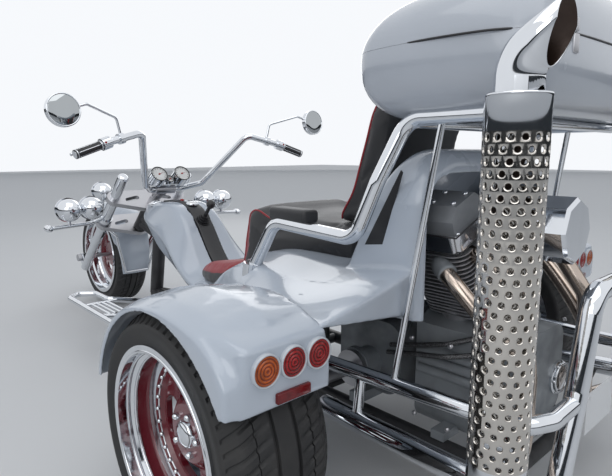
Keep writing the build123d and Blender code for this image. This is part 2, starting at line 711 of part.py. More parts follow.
def frame_tubes(side_bar_solids, tub):
    """The frame: neck, backbone, down tube, two lower rails, cross tubes, outriggers and rear uprights."""
    neck_length = UPPER_YOKE_S - LOWER_YOKE_S - YOKE_THICK - 2 * STEERING_GAP
    frame = extrude(stem_plane(LOWER_YOKE_S + YOKE_THICK / 2 + STEERING_GAP) * Circle(NECK_R), neck_length)
    knee = (1300, 0, 390)
    frame += rod(on_stem((LOWER_YOKE_S + UPPER_YOKE_S) / 2), knee, BACKBONE_R)
    frame += rod(knee, (900, 0, RAIL_Z), BACKBONE_R)
    frame += rod(on_stem(LOWER_YOKE_S + 60), DOWN_TUBE_TOP, 30)
    frame += rod(DOWN_TUBE_TOP, DOWN_TUBE_FOOT, 36)
    frame += rod(DOWN_TUBE_FOOT, (850, 0, RAIL_Z), 28)
    for side in (1, -1):
        nose_x = DOWN_TUBE_FOOT[0] - 20
        rail = [(nose_x, 20, RAIL_Z), (1250, RAIL_Y, RAIL_Z), (FRAME_TAIL_X, RAIL_Y, RAIL_Z)]
        frame += tube(swap_side(rail, side), RAIL_R, 120)
        for x, y, z in ((FRAME_TAIL_X + 30, 428, 272), (-20, 398, 257)):
            elbow = (x, side * (RAIL_Y + 40), RAIL_Z)
            frame += tube([(x, side * RAIL_Y, RAIL_Z), elbow, (x, side * y, z)], 18, 20)
        for x, y in ((560, 150), (250, 180)):
            frame += rod((x, side * y, RAIL_Z), (x, side * y, 460), POST_R)
    for x in (900, 560, 250, FRAME_TAIL_X):
        frame += rod((x, -RAIL_Y, RAIL_Z), (x, RAIL_Y, RAIL_Z), RAIL_R - 5)
    frame -= extrude(stem_plane(LOWER_YOKE_S - 30) * Circle(STEM_R + RUNNING_FIT), 300)
    for bar in side_bar_solids:
        frame -= bar
    frame = biggest(frame - tub)
    save("frame", frame)
    return frame


def rear_axle(frame):
    """The gearbox end with its side housings, the half shafts, and the arms that carry the rear wheels."""
    box = fillet(block((-60, -TRANSAXLE_HALF, 215), (190, TRANSAXLE_HALF, 445)).edges().filter_by(Axis.Y), 60)
    box += turned_about_x(((-62, 0), (-62, 160), (0, 120), (0, 0)), (0, 0, CRANK_Z))
    for side in (1, -1):
        box += rod((REAR_AXLE_X, side * TRANSAXLE_HALF, REAR_TYRE_R), (REAR_AXLE_X, side * 205, REAR_TYRE_R), 48)
        box += rod((REAR_AXLE_X, side * 205, REAR_TYRE_R), (REAR_AXLE_X, side * 225, REAR_TYRE_R), 60)
        foot_y = sorted((side * 110, side * 225))
        box += block((40, foot_y[0], RAIL_Z + RAIL_R + SEAT), (80, foot_y[1], 222))
    save("transaxle", box)
    shafts, arms = [], []
    x, z = REAR_AXLE_X, REAR_TYRE_R
    for side in (1, -1):
        shaft = rod((x, side * (225 + SEAT), z), (x, side * (530 - SEAT), z), 18)
        shaft += rod((x, side * (225 + SEAT), z), (x, side * 243, z), 56)
        arm = rod((x, side * 530, z), (x, side * 595, z), 52)
        arm += rod((x, side * 560, z), (x, side * (REAR_WHEEL_Y + 70), z), HUB_R)
        arm += tube([(x, side * 545, z), (290, side * 460, 270), (360, side * RAIL_Y, RAIL_Z)], 26, 60)
        arms.append(biggest(arm - frame))
        shafts.append(biggest(shaft - arm))
    save("half_shafts", *shafts)
    save("rear_arms", *arms)


def level(z, front, rear, half, corner):
    """A level section of the top box: a straight front, and sides and rear that bow out."""
    front_half = 0.94 * half
    rear_half = 0.86 * half
    side_x = front - 0.45 * (front - rear)
    tail_x = rear + 22
    with BuildSketch(Plane.XY.offset(z)) as outline:
        with BuildLine():
            Line((front, -front_half), (front, front_half))
            ThreePointArc((front, front_half), (side_x, half), (tail_x, rear_half))
            ThreePointArc((tail_x, rear_half), (rear, 0), (tail_x, -rear_half))
            ThreePointArc((tail_x, -rear_half), (side_x, -half), (front, -front_half))
        make_face()
        fillet(outline.vertices(), corner)
    return outline.sketch


# the box's levels going up: z, front x, rear x, half width and corner radius
BASE_LEVELS = (
    (BOX_FLOOR_Z, -150, -480, 320, 50),
    (1070, -90, -525, 376, 70),
    (BOX_SEAM_Z, BOX_FRONT_X, BOX_REAR_X, BOX_HALF, 85),
)
LID_LEVELS = (
    (BOX_SEAM_Z + LID_GAP, BOX_FRONT_X, BOX_REAR_X, BOX_HALF, 85),
    (1262, -85, -520, 374, 90),
    (1318, -150, -480, 290, 90),
    (LID_TOP_Z, -230, -400, 140, 50),
)


def drawn_level(z, front, rear, half, corner):
    """A level of the box's inside, one wall in from the outside."""
    return level(z, front - BOX_WALL, rear + BOX_WALL, half - BOX_WALL, corner - BOX_WALL)


def hinge_knuckle(y, length, low_z, high_z):
    """A hinge barrel on the line ahead of the box's front wall, with a leaf back to the wall."""
    x = BOX_FRONT_X + HINGE_OUT
    barrel = across((x, y, BOX_SEAM_Z + LID_GAP / 2), HINGE_R, length / 2)
    return barrel + block((BOX_FRONT_X - BOX_WALL, y - length / 2, low_z), (x, y + length / 2, high_z))


def top_box():
    """The domed box: a hollow base, and a hollow lid hinged along its front edge."""
    seam = BOX_SEAM_Z + LID_GAP / 2
    base = loft([level(*row) for row in BASE_LEVELS])
    hollow_rows = [(BOX_FLOOR_Z + BOX_WALL, *BASE_LEVELS[0][1:]), BASE_LEVELS[1], (BOX_SEAM_Z + 1, *BASE_LEVELS[2][1:])]
    base -= loft([drawn_level(*row) for row in hollow_rows])
    lid = loft([level(*row) for row in LID_LEVELS])
    seam_row, shoulder_row, crown_row, top_row = LID_LEVELS
    hollow_rows = [(seam_row[0] - 1, *seam_row[1:]), shoulder_row, (crown_row[0] - BOX_WALL, *crown_row[1:]),
                   (LID_TOP_Z - BOX_WALL, *top_row[1:])]
    lid -= loft([drawn_level(*row) for row in hollow_rows])
    hinge_x = BOX_FRONT_X + HINGE_OUT
    for side in (1, -1):
        y = side * HINGE_Y
        for outer in (1, -1):
            base += hinge_knuckle(y + outer * 20, 18, seam - 12, seam - 1)
        pin_hole = across((hinge_x, y, seam), HINGE_PIN_R + RUNNING_FIT, 40)
        lid += hinge_knuckle(y, 18, seam + 1, seam + 9) - pin_hole
        base += across((hinge_x, y, seam), HINGE_PIN_R, 28)
    save("box_lid", lid)
    save("box_base", base)
    return base


def rails_and_rack(tub, box, side_bar_solids):
    """The hoops that rise beside the seat and run back under the box, with its rack and struts."""
    rails = {}
    rack = rod((RACK_X[0], -HOOP_Y, RACK_Z), (RACK_X[0], HOOP_Y, RACK_Z), RACK_R)
    cross = [rack, rod((RACK_X[1], -HOOP_Y, RACK_Z), (RACK_X[1], HOOP_Y, RACK_Z), RACK_R)]
    struts = []
    for (name, side), bars in zip(SIDES, side_bar_solids):
        points = [(310, 420, 600), (222, 402, 756), (-92, 402, 740), (-150, 388, 884), (-205, HOOP_Y, HOOP_Z),
                  (-430, HOOP_Y, HOOP_Z)]
        rail = tube(swap_side(points, side), GRAB_R, [55, 55, 55, 60])
        rail += rod((314, side * 422, 580), (308, side * 419.5, 622), 30)
        rail = biggest(rail - tub - box)
        rails[name] = rail
        save(f"grab_rail_{name}", rail)
        strut = rod((-207, side * 380, UPPER_BAR_Z), (-300, side * HOOP_Y, HOOP_Z), STRUT_R)
        struts.append(biggest(strut - rail - bars))
        cross = [item - rail for item in cross]
    save("box_rack", *[biggest(item) for item in cross])
    save("box_struts", *struts)
    pads = []
    for name, side in SIDES:
        pad_y = sorted((side * 353, side * 417))
        pad = block((80, pad_y[0], 758), (240, pad_y[1], 800)) - rails[name]
        pads.append(sorted(pad.solids(), key=lambda solid: solid.center().Z)[-1])
    save("armrests", *pads)


def leaning(side):
    """The place of a cylinder: up from the crank, leaning out to its side."""
    return Pos(CYLINDER_X, 0, CRANK_Z) * Rot(-side * CYLINDER_LEAN, 0, 0)


def engine():
    """An open V-twin: crankcase, two leaning finned cylinders with rocker boxes, covers and air cleaner."""
    case = fillet(block((CASE_REAR_X, -CASE_HALF, 190), (CASE_FRONT_X, CASE_HALF, 522)).edges().filter_by(Axis.X), 40)
    middle = (CASE_REAR_X + CASE_FRONT_X) / 2
    for side in (1, -1):
        for z in (350, 380, 410):
            case += Pos(middle, side * CASE_HALF, z) * Rot(0, 90, 0) * Cylinder(14, CASE_FRONT_X - CASE_REAR_X - 24)
        foot_y = sorted((side * 150, side * 225))
        case += block((-260, foot_y[0], RAIL_Z + RAIL_R + SEAT), (-220, foot_y[1], 215))
        case -= leaning(side) * Pos(0, side * 50, BARREL_FOOT + 200) * Box(600, 500, 400)
    cover = block((COVER_REAR_X, -175, 215), (CASE_REAR_X, 120, 470))
    case += fillet(cover.edges().filter_by(Axis.X), 45)
    round_cover = turned_about_x(((-410, 0), (-410, 34), (-402, 50), (-350, 50), (-350, 0)), (0, -145, 310))
    save("engine_cover", biggest(round_cover - case))
    save("engine_case", case)

    barrels, boxes = {}, {}
    for name, side in SIDES:
        barrel = Pos(0, 0, BARREL_FOOT + BARREL_LENGTH / 2) * Cylinder(BARREL_R, BARREL_LENGTH)
        for index in range(FIN_COUNT):
            width = min(116 + 5 * index, 150)
            outline = RectangleRounded(FIN_LENGTH, width, 38)
            barrel += Pos(0, 0, BARREL_FOOT + 18 + FIN_PITCH * index) * extrude(outline, FIN_THICK)
        own_side = Pos(CYLINDER_X, side * 501, 600) * Box(600, 1000, 900)
        barrels[name] = (leaning(side) * barrel) & own_side
        save(f"cylinder_{name}", biggest(barrels[name]))

        foot = BARREL_FOOT + BARREL_LENGTH + SEAT
        lower = Pos(0, 0, foot + 23) * Box(165, 158, 46)
        lower = fillet(lower.edges().filter_by(Axis.Z), 22)
        recess = Polyline((-60, foot + 6), (-12, foot + 6), (-36, foot + 38), close=True)
        for turn in (0, 180):
            for turn_x in (0, 180):
                mark = extrude(Plane.YZ.offset(76.5) * make_face(recess), 12)
                lower -= Rot(0, 0, turn_x) * (mark if turn == 0 else mirror(mark, about=Plane.XZ))
        upper = Pos(0, 0, foot + 46 + 34) * Box(152, 144, 68)
        upper = chamfer(upper.edges().filter_by(Axis.X).sort_by(Axis.Z)[-2:], 30)
        boxes[name] = leaning(side) * (lower + upper)
        save(f"rocker_cover_{name}", boxes[name])

    cleaner = Pos(-480, 10, 762) * (Rot(0, 90, 0) * extrude(RegularPolygon(85, 8), 90))
    rear_edges = cleaner.faces().sort_by(Axis.X)[0].edges()
    cleaner = chamfer(rear_edges, 8)
    intake = tube([(-395, 10, 762), (-250, 4, 752), (CYLINDER_X, 0, 690)], 24, 40)
    intake += rod((CYLINDER_X, -120, 690), (CYLINDER_X, 120, 690), 22)
    for name, side in SIDES:
        intake = intake - barrels[name] - boxes[name]
    save("air_cleaner", cleaner + biggest(intake - cleaner))

    hoses = []
    for y, points in ((176, [(-40, 176, 392), (-150, 190, 424), (-240, 196, 452), (-300, 170, 476)]),
                      (196, [(-44, 196, 376), (-150, 212, 404), (-250, 214, 424), (-316, 176, 438)])):
        hoses.append(tube(points, 7, 60))
    save("oil_hoses", *[biggest(hose - case) for hose in hoses])
    return barrels


def exhaust(barrels):
    """Two upright stacks with tubular shields and turned-back tips, and the pipes that feed them."""
    stacks, headers = {}, {}
    for name, side in SIDES:
        foot = Pos(STACK_X, side * STACK_Y, 0)
        height = STACK_TOP_Z - STACK_FOOT_Z
        shield = foot * Pos(0, 0, STACK_FOOT_Z) * extrude(Circle(STACK_R) - Circle(STACK_R - STACK_WALL), height)
        inlet = foot * Pos(0, 0, INLET_FOOT_Z) * extrude(Circle(INLET_R), STACK_FOOT_Z + 20 - INLET_FOOT_Z)
        pipe = tube([(STACK_X, side * STACK_Y, STACK_FOOT_Z + 4), (STACK_X, side * STACK_Y, 1120),
                     (PIPE_TIP_X - 60, side * STACK_Y, 1200)], PIPE_R, 58)
        bore = tube([(STACK_X, side * STACK_Y, 900), (STACK_X, side * STACK_Y, 1120),
                     (PIPE_TIP_X - 60, side * STACK_Y, 1200)], PIPE_R - STACK_WALL, 58)
        beyond = Polyline((PIPE_TIP_X, 1300), (PIPE_TIP_X, 1170), (PIPE_TIP_X + 34, 1068), (PIPE_TIP_X - 300, 1000),
                          (PIPE_TIP_X - 300, 1300), close=True)
        slash = extrude(Plane.XZ.offset(-side * STACK_Y) * make_face(beyond), amount=100, both=True)
        cap = foot * Pos(0, 0, STACK_FOOT_Z) * extrude(Circle(STACK_R) - Circle(PIPE_R - 1), 8)
        ring = foot * Pos(0, 0, STACK_TOP_Z - 8) * extrude(Circle(STACK_R) - Circle(PIPE_R - 1), 8)
        stacks[name] = biggest(shield + cap + ring + inlet + (pipe - bore - slash))
        save(f"stack_{name}", stacks[name])
    for name, side in SIDES:
        route = [(-280, 165, 700), (-352, 176, 690), (-440, 190, 560), (-455, 186, 420), (-455, 186, 250),
                 (STACK_X + 4, STACK_Y, INLET_FOOT_Z + 22)]
        header = tube(swap_side(route, side), HEADER_R, [40, 45, 60, 45])
        headers[name] = biggest(header - barrels[name] - stacks[name])
    save("headers", *headers.values())
    return stacks, headers


def bumper_loop():
    """The loop behind the engine, with the bar that carries the plate."""
    half_loop = [(BUMPER_X, 110, 640), (BUMPER_X, 165, 420), (BUMPER_X, 235, 215)]
    loop = tube(swap_side(half_loop[::-1], 1) + swap_side(half_loop, -1), BUMPER_R, 60)
    return loop + rod((PLATE_BAR_X, -185, 340), (PLATE_BAR_X, 185, 340), PLATE_BAR_R)


def side_bars(stacks, headers):
    """An upper and a lower bar along each side, joined by a bracket and running to the loop."""
    upper_y = STACK_Y - STACK_R - UPPER_BAR_R - SEAT
    solids = []
    loop = bumper_loop()
    for name, side in SIDES:
        upper = [(21, 395, UPPER_BAR_Z), (-400, upper_y + 8, UPPER_BAR_Z), (-530, upper_y - 4, UPPER_BAR_Z + 5),
                 (BUMPER_X, 290, UPPER_BAR_Z + 8), (BUMPER_X, 165, UPPER_BAR_Z + 10)]
        bar = tube(swap_side(upper, side), UPPER_BAR_R, [300, 45, 30])
        bar += rod((20, side * 395, 255), (STACK_X, side * STACK_Y, 277), LOWER_BAR_R)
        bar += rod((-110, side * 388, UPPER_BAR_Z), (-110, side * 404, 260), 14)
        solids.append(biggest(bar - loop - stacks[name] - headers[name]))
    save("side_bars", *solids)
    save("rear_bumper", loop)
    face_x = PLATE_BAR_X - PLATE_BAR_R - SEAT
    plate = block((face_x - PLATE_THICK, -89, 282), (face_x, 89, 384))
    for y in (-PLATE_PITCH / 2, PLATE_PITCH / 2):
        plate -= Pos(face_x, y, 372) * Rot(0, 90, 0) * Cylinder(PLATE_HOLE_R, 40)
    save("number_plate", plate)
    return solids


def footboards(frame):
    for name, side in SIDES:
        outline = [(1150, 505, 230), (1750, 500, 230), (1805, 440, 230), (1755, 365, 230), (1600, 365, 230),
                   (1600, 90, RAIL_Z)]
        loop = tube(swap_side(outline, side), 14, 25)
        loop += rod((1340, side * 500, 230), (1340, side * 170, RAIL_Z + 4), 12)
        for y in (385, 410, 435, 460):
            loop += rod((1340, side * y, 230), (1560, side * y, 230), 7)
        loop += rod((1560, side * 340, 230), (1560, side * 500, 230), 9)
        save(f"footboard_{name}", biggest(loop - frame))


def tail_lights(fender_solids):
    """Three round lamps in a row on each tail panel, and a reflector below them."""
    lamps, reflectors = [], []
    for name, side in SIDES:
        for y in (REAR_WHEEL_Y - 17 - LAMP_PITCH, REAR_WHEEL_Y - 17, REAR_WHEEL_Y - 17 + LAMP_PITCH):
            lamp = rod((LAMP_FACE_X, side * y, 551), (LAMP_FACE_X + 70, side * y, 551), LAMP_R)
            lamps.append((lamp - fender_solids[name]).solids().sort_by(Axis.X)[0])
        panel_y = sorted((side * 686, side * 774))
        strip = block((TAIL_X - 14, panel_y[0], 474), (TAIL_X + 2, panel_y[1], 496))
        reflectors.append((strip - fender_solids[name]).solids().sort_by(Axis.X)[0])
    save("tail_lamps", *lamps, *reflectors)


def main():
    os.makedirs("parts", exist_ok=True)
    wheels()
    fork()
    handlebar()
    front_lamps()
    blade = fender_blade()
    save("front_fender", blade)
    save("fender_stays", fender_stays(blade))
    tub = body()
    fender_solids = fenders(tub)
    tail_lights(fender_solids)
    stacks, headers = exhaust(engine())
    side_bar_solids = side_bars(stacks, headers)
    frame = frame_tubes(side_bar_solids, tub)
    rear_axle(frame)
    footboards(frame)
    box = top_box()
    rails_and_rack(tub, box, side_bar_solids)


main()
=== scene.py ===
from math import atan2, cos, pi, radians, sin, sqrt, tan

import bmesh
import bpy
from mathutils import Matrix, Vector
from mathutils.bvhtree import BVHTree


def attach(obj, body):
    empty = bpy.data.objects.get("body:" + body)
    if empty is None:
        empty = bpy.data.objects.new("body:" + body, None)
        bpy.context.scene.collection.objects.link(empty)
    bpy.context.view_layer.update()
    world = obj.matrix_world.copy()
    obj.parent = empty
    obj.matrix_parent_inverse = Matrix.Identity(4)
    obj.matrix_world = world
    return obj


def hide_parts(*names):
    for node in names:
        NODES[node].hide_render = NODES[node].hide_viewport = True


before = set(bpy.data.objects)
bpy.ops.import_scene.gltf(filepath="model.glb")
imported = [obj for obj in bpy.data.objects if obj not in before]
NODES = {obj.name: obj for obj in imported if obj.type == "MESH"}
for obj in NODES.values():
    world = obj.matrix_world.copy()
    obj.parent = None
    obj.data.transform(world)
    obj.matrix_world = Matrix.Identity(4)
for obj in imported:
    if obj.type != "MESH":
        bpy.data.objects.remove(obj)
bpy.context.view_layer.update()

# Places are in millimetres from the ground just behind the rear axle, as a maker would measure them:
# x forward, y to the rider's left, z up. at() turns them into the frame's metres.
MID_X = 1055.0
SIDES = (("left", 1), ("right", -1))
REAR_AXLE = (62, 748, 306)
FRONT_AXLE = (2390, 0, 310)
CYLINDER_FOOT = (-210, 0, 330)
CYLINDER_LEAN = radians(22.5)
DOWN = Vector((0, 0, -1))


def at(x, y, z):
    """A place in millimetres, in the frame's metres."""
    return Vector(((x - MID_X) / 1000, y / 1000, z / 1000))


def in_mm(place):
    """A place in the frame's metres, in millimetres."""
    return place.x * 1000 + MID_X, place.y * 1000, place.z * 1000


# Shader maths
class Value:
    """A number or colour that varies over a surface, with its maths written as Python."""

    def __init__(self, finish, socket):
        self.finish = finish
        self.socket = socket

    def maths(self, operation, first, second):
        node = self.finish.node("ShaderNodeMath", {"operation": operation}, {0: first, 1: second})
        return Value(self.finish, node.outputs[0])

    def __add__(self, other):
        return self.maths("ADD", self, other)

    def __radd__(self, other):
        return self.maths("ADD", other, self)

    def __sub__(self, other):
        return self.maths("SUBTRACT", self, other)

    def __rsub__(self, other):
        return self.maths("SUBTRACT", other, self)

    def __mul__(self, other):
        return self.maths("MULTIPLY", self, other)

    def __rmul__(self, other):
        return self.maths("MULTIPLY", other, self)

    def __gt__(self, other):
        return self.maths("GREATER_THAN", self, other)


class Finish:
    """A material while it is made: its nodes and its main shader."""

    def __init__(self, name, colour, **constants):
        self.material = bpy.data.materials.new(name)
        self.material.use_nodes = True
        self.tree = self.material.node_tree
        self.shader = self.tree.nodes["Principled BSDF"]
        self.shader.inputs["Base Color"].default_value = (*colour, 1)
        self.material.diffuse_color = (*colour, 1)
        for socket, value in constants.items():
            self.shader.inputs[socket.replace("_", " ")].default_value = value

    def node(self, kind, settings, sockets):
        """A node with its settings and the values or links of its sockets."""
        node = self.tree.nodes.new(kind)
        for key, value in settings.items():
            setattr(node, key, value)
        for key, value in sockets.items():
            self.feed(node.inputs[key], value)
        return node

    def feed(self, socket, value):
        """Links a varying value to a socket, or sets a plain one."""
        if isinstance(value, Value):
            self.tree.links.new(value.socket, socket)
        elif isinstance(value, tuple) and socket.type == "RGBA":
            socket.default_value = (*value, 1)
        else:
            socket.default_value = value

    def place(self, scale=(1, 1, 1)):
        """The place on the object, in metres times a scale."""
        coords = self.node("ShaderNodeTexCoord", {}, {})
        moved = self.node("ShaderNodeMapping", {},
                          {"Vector": Value(self, coords.outputs["Object"]), "Scale": scale})
        return Value(self, moved.outputs[0])

    def noise(self, scale, detail, stretch=(1, 1, 1)):
        node = self.node("ShaderNodeTexNoise", {},
                         {"Vector": self.place(stretch), "Scale": scale, "Detail": detail})
        return Value(self, node.outputs[0])

    def cells(self, scale):
        node = self.node("ShaderNodeTexVoronoi", {}, {"Vector": self.place(), "Scale": scale})
        return Value(self, node.outputs["Distance"])

    def reach(self, axis, origin):
        """How far a place lies along an axis from an origin, in metres."""
        offset = self.node("ShaderNodeVectorMath", {"operation": "SUBTRACT"}, {0: self.place(), 1: origin})
        along = self.node("ShaderNodeVectorMath", {"operation": "DOT_PRODUCT"},
                          {0: Value(self, offset.outputs[0]), 1: axis})
        return Value(self, along.outputs["Value"])

    def ramp(self, value, low, high):
        """The value's share of the way from low to high, kept between 0 and 1."""
        node = self.node("ShaderNodeMapRange", {}, {"Value": value, "From Min": low, "From Max": high})
        return Value(self, node.outputs[0])

    def mix(self, factor, first, second):
        node = self.node("ShaderNodeMix", {"data_type": "RGBA"}, {0: factor, 6: first, 7: second})
        return Value(self, node.outputs[2])

    def colour(self, value):
        self.feed(self.shader.inputs["Base Color"], value)

    def roughness(self, value):
        self.feed(self.shader.inputs["Roughness"], value)

    def bump(self, height, strength, distance):
        """The finished material, with a height that tilts its surface."""
        node = self.node("ShaderNodeBump", {},
                         {"Height": height, "Strength": strength, "Distance": distance})
        self.feed(self.shader.inputs["Normal"], Value(self, node.outputs[0]))
        return self.material


def gloss_paint(name, colour, dusty):
    """Lacquered paint with a faint change of tone and dust."""
    finish = Finish(name, colour, Coat_Weight=0.6, Coat_Roughness=0.04)
    cloud = finish.ramp(finish.noise(3.0, 4.0), 0.35, 0.7)
    finish.colour(finish.mix(cloud * 0.5, colour, dusty))
    finish.roughness(0.2 + cloud * 0.1)
    return finish.bump(finish.noise(260, 2.0), 0.02, 0.0004)


def polished(name, colour, rough, spread):
    """Bright plating with faint smears."""
    finish = Finish(name, colour, Metallic=1.0)
    smear = finish.ramp(finish.noise(14, 4.0, (1, 1, 0.35)), 0.4, 0.75)
    finish.colour(finish.mix(smear * 0.35, colour, tuple(part * 0.82 for part in colour)))
    finish.roughness(rough + smear * spread)
    return finish.bump(finish.noise(90, 2.0), 0.015, 0.0003)


def cast_metal(name, colour, metallic, grain):
    """Cast or sand-blasted metal with patches of grime."""
    finish = Finish(name, colour, Metallic=metallic)
    grime = finish.ramp(finish.noise(11, 5.0), 0.42, 0.7)
    finish.colour(finish.mix(grime * 0.6, colour, tuple(part * 0.45 for part in colour)))
    finish.roughness(0.42 + grime * 0.25)
    return finish.bump(finish.noise(grain, 3.0), 0.25, 0.0006)


def rubber(name, colour):
    """Tyre rubber with dust in its grain."""
    finish = Finish(name, colour)
    dust = finish.ramp(finish.noise(9, 5.0), 0.45, 0.75)
    finish.colour(finish.mix(dust * 0.5, colour, (0.075, 0.072, 0.068)))
    finish.roughness(0.62 + dust * 0.2)
    return finish.bump(finish.noise(420, 2.0), 0.2, 0.0004)


def leather(name, colour, dark):
    """Grained upholstery vinyl."""
    finish = Finish(name, colour, Sheen_Weight=0.12, Sheen_Roughness=0.5)
    wear = finish.ramp(finish.noise(7, 4.0), 0.4, 0.75)
    finish.colour(finish.mix(wear * 0.55, colour, dark))
    finish.roughness(0.46 + wear * 0.14)
    grain = finish.cells(330) * 0.7 + finish.noise(900, 2.0) * 0.3
    return finish.bump(grain, 0.35, 0.0007)


def moulded(name, colour):
    """Satin moulded plastic."""
    finish = Finish(name, colour)
    mottle = finish.ramp(finish.noise(30, 3.0), 0.4, 0.7)
    finish.colour(finish.mix(mottle * 0.4, colour, tuple(part * 1.5 + 0.004 for part in colour)))
    finish.roughness(0.4 + mottle * 0.12)
    return finish.bump(finish.cells(520), 0.15, 0.0004)


def lens(name, colour, glow):
    """A clear coloured lens, deeper in colour where its ribs are thick."""
    finish = Finish(name, colour, Coat_Weight=0.35, Coat_Roughness=0.05, Specular_IOR_Level=0.35,
                    Emission_Strength=glow)
    finish.shader.inputs["Emission Color"].default_value = (*colour, 1)
    ribs = finish.ramp(finish.noise(70, 2.0), 0.35, 0.7)
    finish.colour(finish.mix(ribs * 0.7, colour, tuple(part * 0.35 for part in colour)))
    finish.roughness(0.1 + ribs * 0.08)
    return finish.bump(finish.cells(600), 0.1, 0.0005)


def two_tone(name, axis, origin, height):
    """Polished metal below a height along an axis, and grey painted casting above it."""
    finish = Finish(name, (0.2, 0.21, 0.22))
    painted_part = finish.reach(axis, origin) > height
    grime = finish.ramp(finish.noise(11, 5.0), 0.42, 0.7)
    paint = finish.mix(grime * 0.5, (0.24, 0.25, 0.265), (0.13, 0.135, 0.14))
    finish.colour(finish.mix(painted_part, (0.62, 0.62, 0.64), paint))
    finish.feed(finish.shader.inputs["Metallic"], 1 - painted_part * 0.75)
    finish.roughness(0.12 + painted_part * 0.3 + grime * 0.12)
    return finish.bump(finish.noise(380, 3.0), 0.15, 0.0005)


def braided(name):
    """A woven steel sleeve."""
    finish = Finish(name, (0.32, 0.32, 0.33), Metallic=0.9)
    weave = finish.cells(620)
    finish.colour(finish.mix(finish.ramp(weave, 0.1, 0.6), (0.4, 0.4, 0.42), (0.05, 0.05, 0.05)))
    finish.roughness(0.35 + weave * 0.2)
    return finish.bump(1 - weave, 0.8, 0.001)


WHITE = gloss_paint("white_lacquer", (0.50, 0.55, 0.62), (0.43, 0.47, 0.53))
BOX_WHITE = gloss_paint("box_lacquer", (0.47, 0.50, 0.55), (0.40, 0.43, 0.47))
MAROON = gloss_paint("maroon_lacquer", (0.16, 0.012, 0.022), (0.1, 0.01, 0.016))
CHROME = polished("chrome_plate", (0.74, 0.76, 0.79), 0.04, 0.05)
WARM_CHROME = polished("heated_plate", (0.52, 0.44, 0.38), 0.16, 0.14)
STEEL = polished("brushed_steel", (0.5, 0.5, 0.52), 0.3, 0.12)
SOOT = cast_metal("sooty_pipe", (0.07, 0.045, 0.035), 0.4, 260)
CASTING = cast_metal("grey_casting", (0.30, 0.32, 0.34), 0.35, 420)
FIN_METAL = cast_metal("fin_metal", (0.46, 0.46, 0.48), 0.85, 380)
DARK_STEEL = cast_metal("black_frame_paint", (0.03, 0.03, 0.033), 0.0, 300)
RUBBER = rubber("tyre_rubber", (0.018, 0.018, 0.019))
BLACK_VINYL = leather("black_vinyl", (0.016, 0.016, 0.018), (0.035, 0.035, 0.038))
RED_VINYL = leather("red_vinyl", (0.30, 0.012, 0.02), (0.2, 0.01, 0.016))
BLACK_TRIM = moulded("black_moulding", (0.016, 0.016, 0.018))
AMBER = lens("amber_lens", (0.50, 0.09, 0.002), 0.05)
RED_LENS = lens("red_lens", (0.36, 0.002, 0.004), 0.05)
# The reflector strips glow faintly in their own red: painted glow, as a reflector is no lamp.
DARK_RED = lens("reflector_red", (0.16, 0.002, 0.005), 0.03)
# Darker copies of the lens colours for the grooves of the tail lamps' rings: painted shade.
AMBER_GROOVE_SHADE = lens("amber_lens_groove_shade", (0.24, 0.03, 0.001), 0.02)
RED_GROOVE_SHADE = lens("red_lens_groove_shade", (0.13, 0.001, 0.002), 0.02)
CLEAR = lens("clear_lens", (0.72, 0.76, 0.8), 0.1)
DIAL = moulded("dial_face", (0.72, 0.72, 0.70))
PLATE = gloss_paint("plate_enamel", (0.70, 0.71, 0.72), (0.62, 0.62, 0.63))
HOSE = braided("braided_hose")

COVER_PAINT_HEIGHT = 0.4865
COVER_FINISH = {}
for side_name, side in SIDES:
    axis = (0, side * sin(CYLINDER_LEAN), cos(CYLINDER_LEAN))
    COVER_FINISH[side_name] = two_tone(f"rocker_cover_{side_name}", axis, tuple(at(*CYLINDER_FOOT)),
                                       COVER_PAINT_HEIGHT)

NODE_FINISH = {
    "rocker_cover_left": COVER_FINISH["left"], "rocker_cover_right": COVER_FINISH["right"],
    "front_body": WHITE, "rear_body": WHITE, "fender_left": WHITE, "fender_right": WHITE,
    "front_fender": WHITE,
    "box_base": BOX_WHITE, "box_lid": BOX_WHITE, "console": BLACK_TRIM, "shift_lever": BLACK_TRIM,
    "grips": BLACK_TRIM, "riser_boot": STEEL, "engine_case": CASTING, "transaxle": CASTING,
    "cylinder_left": FIN_METAL, "cylinder_right": FIN_METAL, "oil_hoses": HOSE, "frame": DARK_STEEL,
    "rear_arms": DARK_STEEL, "half_shafts": STEEL, "number_plate": PLATE,
    "front_axle": STEEL,
    "headers": WARM_CHROME, "front_wheel_centre": MAROON, "rear_wheel_centre_left": MAROON,
    "rear_wheel_centre_right": MAROON, "fork_yokes": STEEL,
}
for node_name, node in NODES.items():
    finish = NODE_FINISH.get(node_name, CHROME)
    node.data.materials.clear()
    node.data.materials.append(finish)


# Mesh helpers
def piece(name, points, faces, materials, body, slot, smooth=True, marks=None):
    """A mesh piece from places in millimetres, riding on a body."""
    mesh = bpy.data.meshes.new(name)
    mesh.from_pydata([at(*point) for point in points], [], faces)
    for material in materials if isinstance(materials, (list, tuple)) else [materials]:
        mesh.materials.append(material)
    for index, face in enumerate(mesh.polygons):
        face.use_smooth = smooth
        if marks:
            face.material_index = marks[index]
    obj = bpy.data.objects.new(name, mesh)
    bpy.context.scene.collection.objects.link(obj)
    clean = bmesh.new()
    clean.from_mesh(mesh)
    bmesh.ops.remove_doubles(clean, verts=clean.verts, dist=0.00002)
    bmesh.ops.recalc_face_normals(clean, faces=clean.faces)
    clean.to_mesh(mesh)
    clean.free()
    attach(obj, body)
    return obj


def modify(obj, kind, **settings):
    """Adds a modifier and sets its values."""
    modifier = obj.modifiers.new(kind.lower(), kind)
    for key, value in settings.items():
        setattr(modifier, key, value)


def grid_faces(rows, columns, wrap_columns=False):
    """The quads of a grid whose points go row by row."""
    faces = []
    for i in range(rows - 1):
        for j in range(columns if wrap_columns else columns - 1):
            k, m = i + 1, (j + 1) % columns
            faces.append((i * columns + j, i * columns + m, k * columns + m, k * columns + j))
    return faces


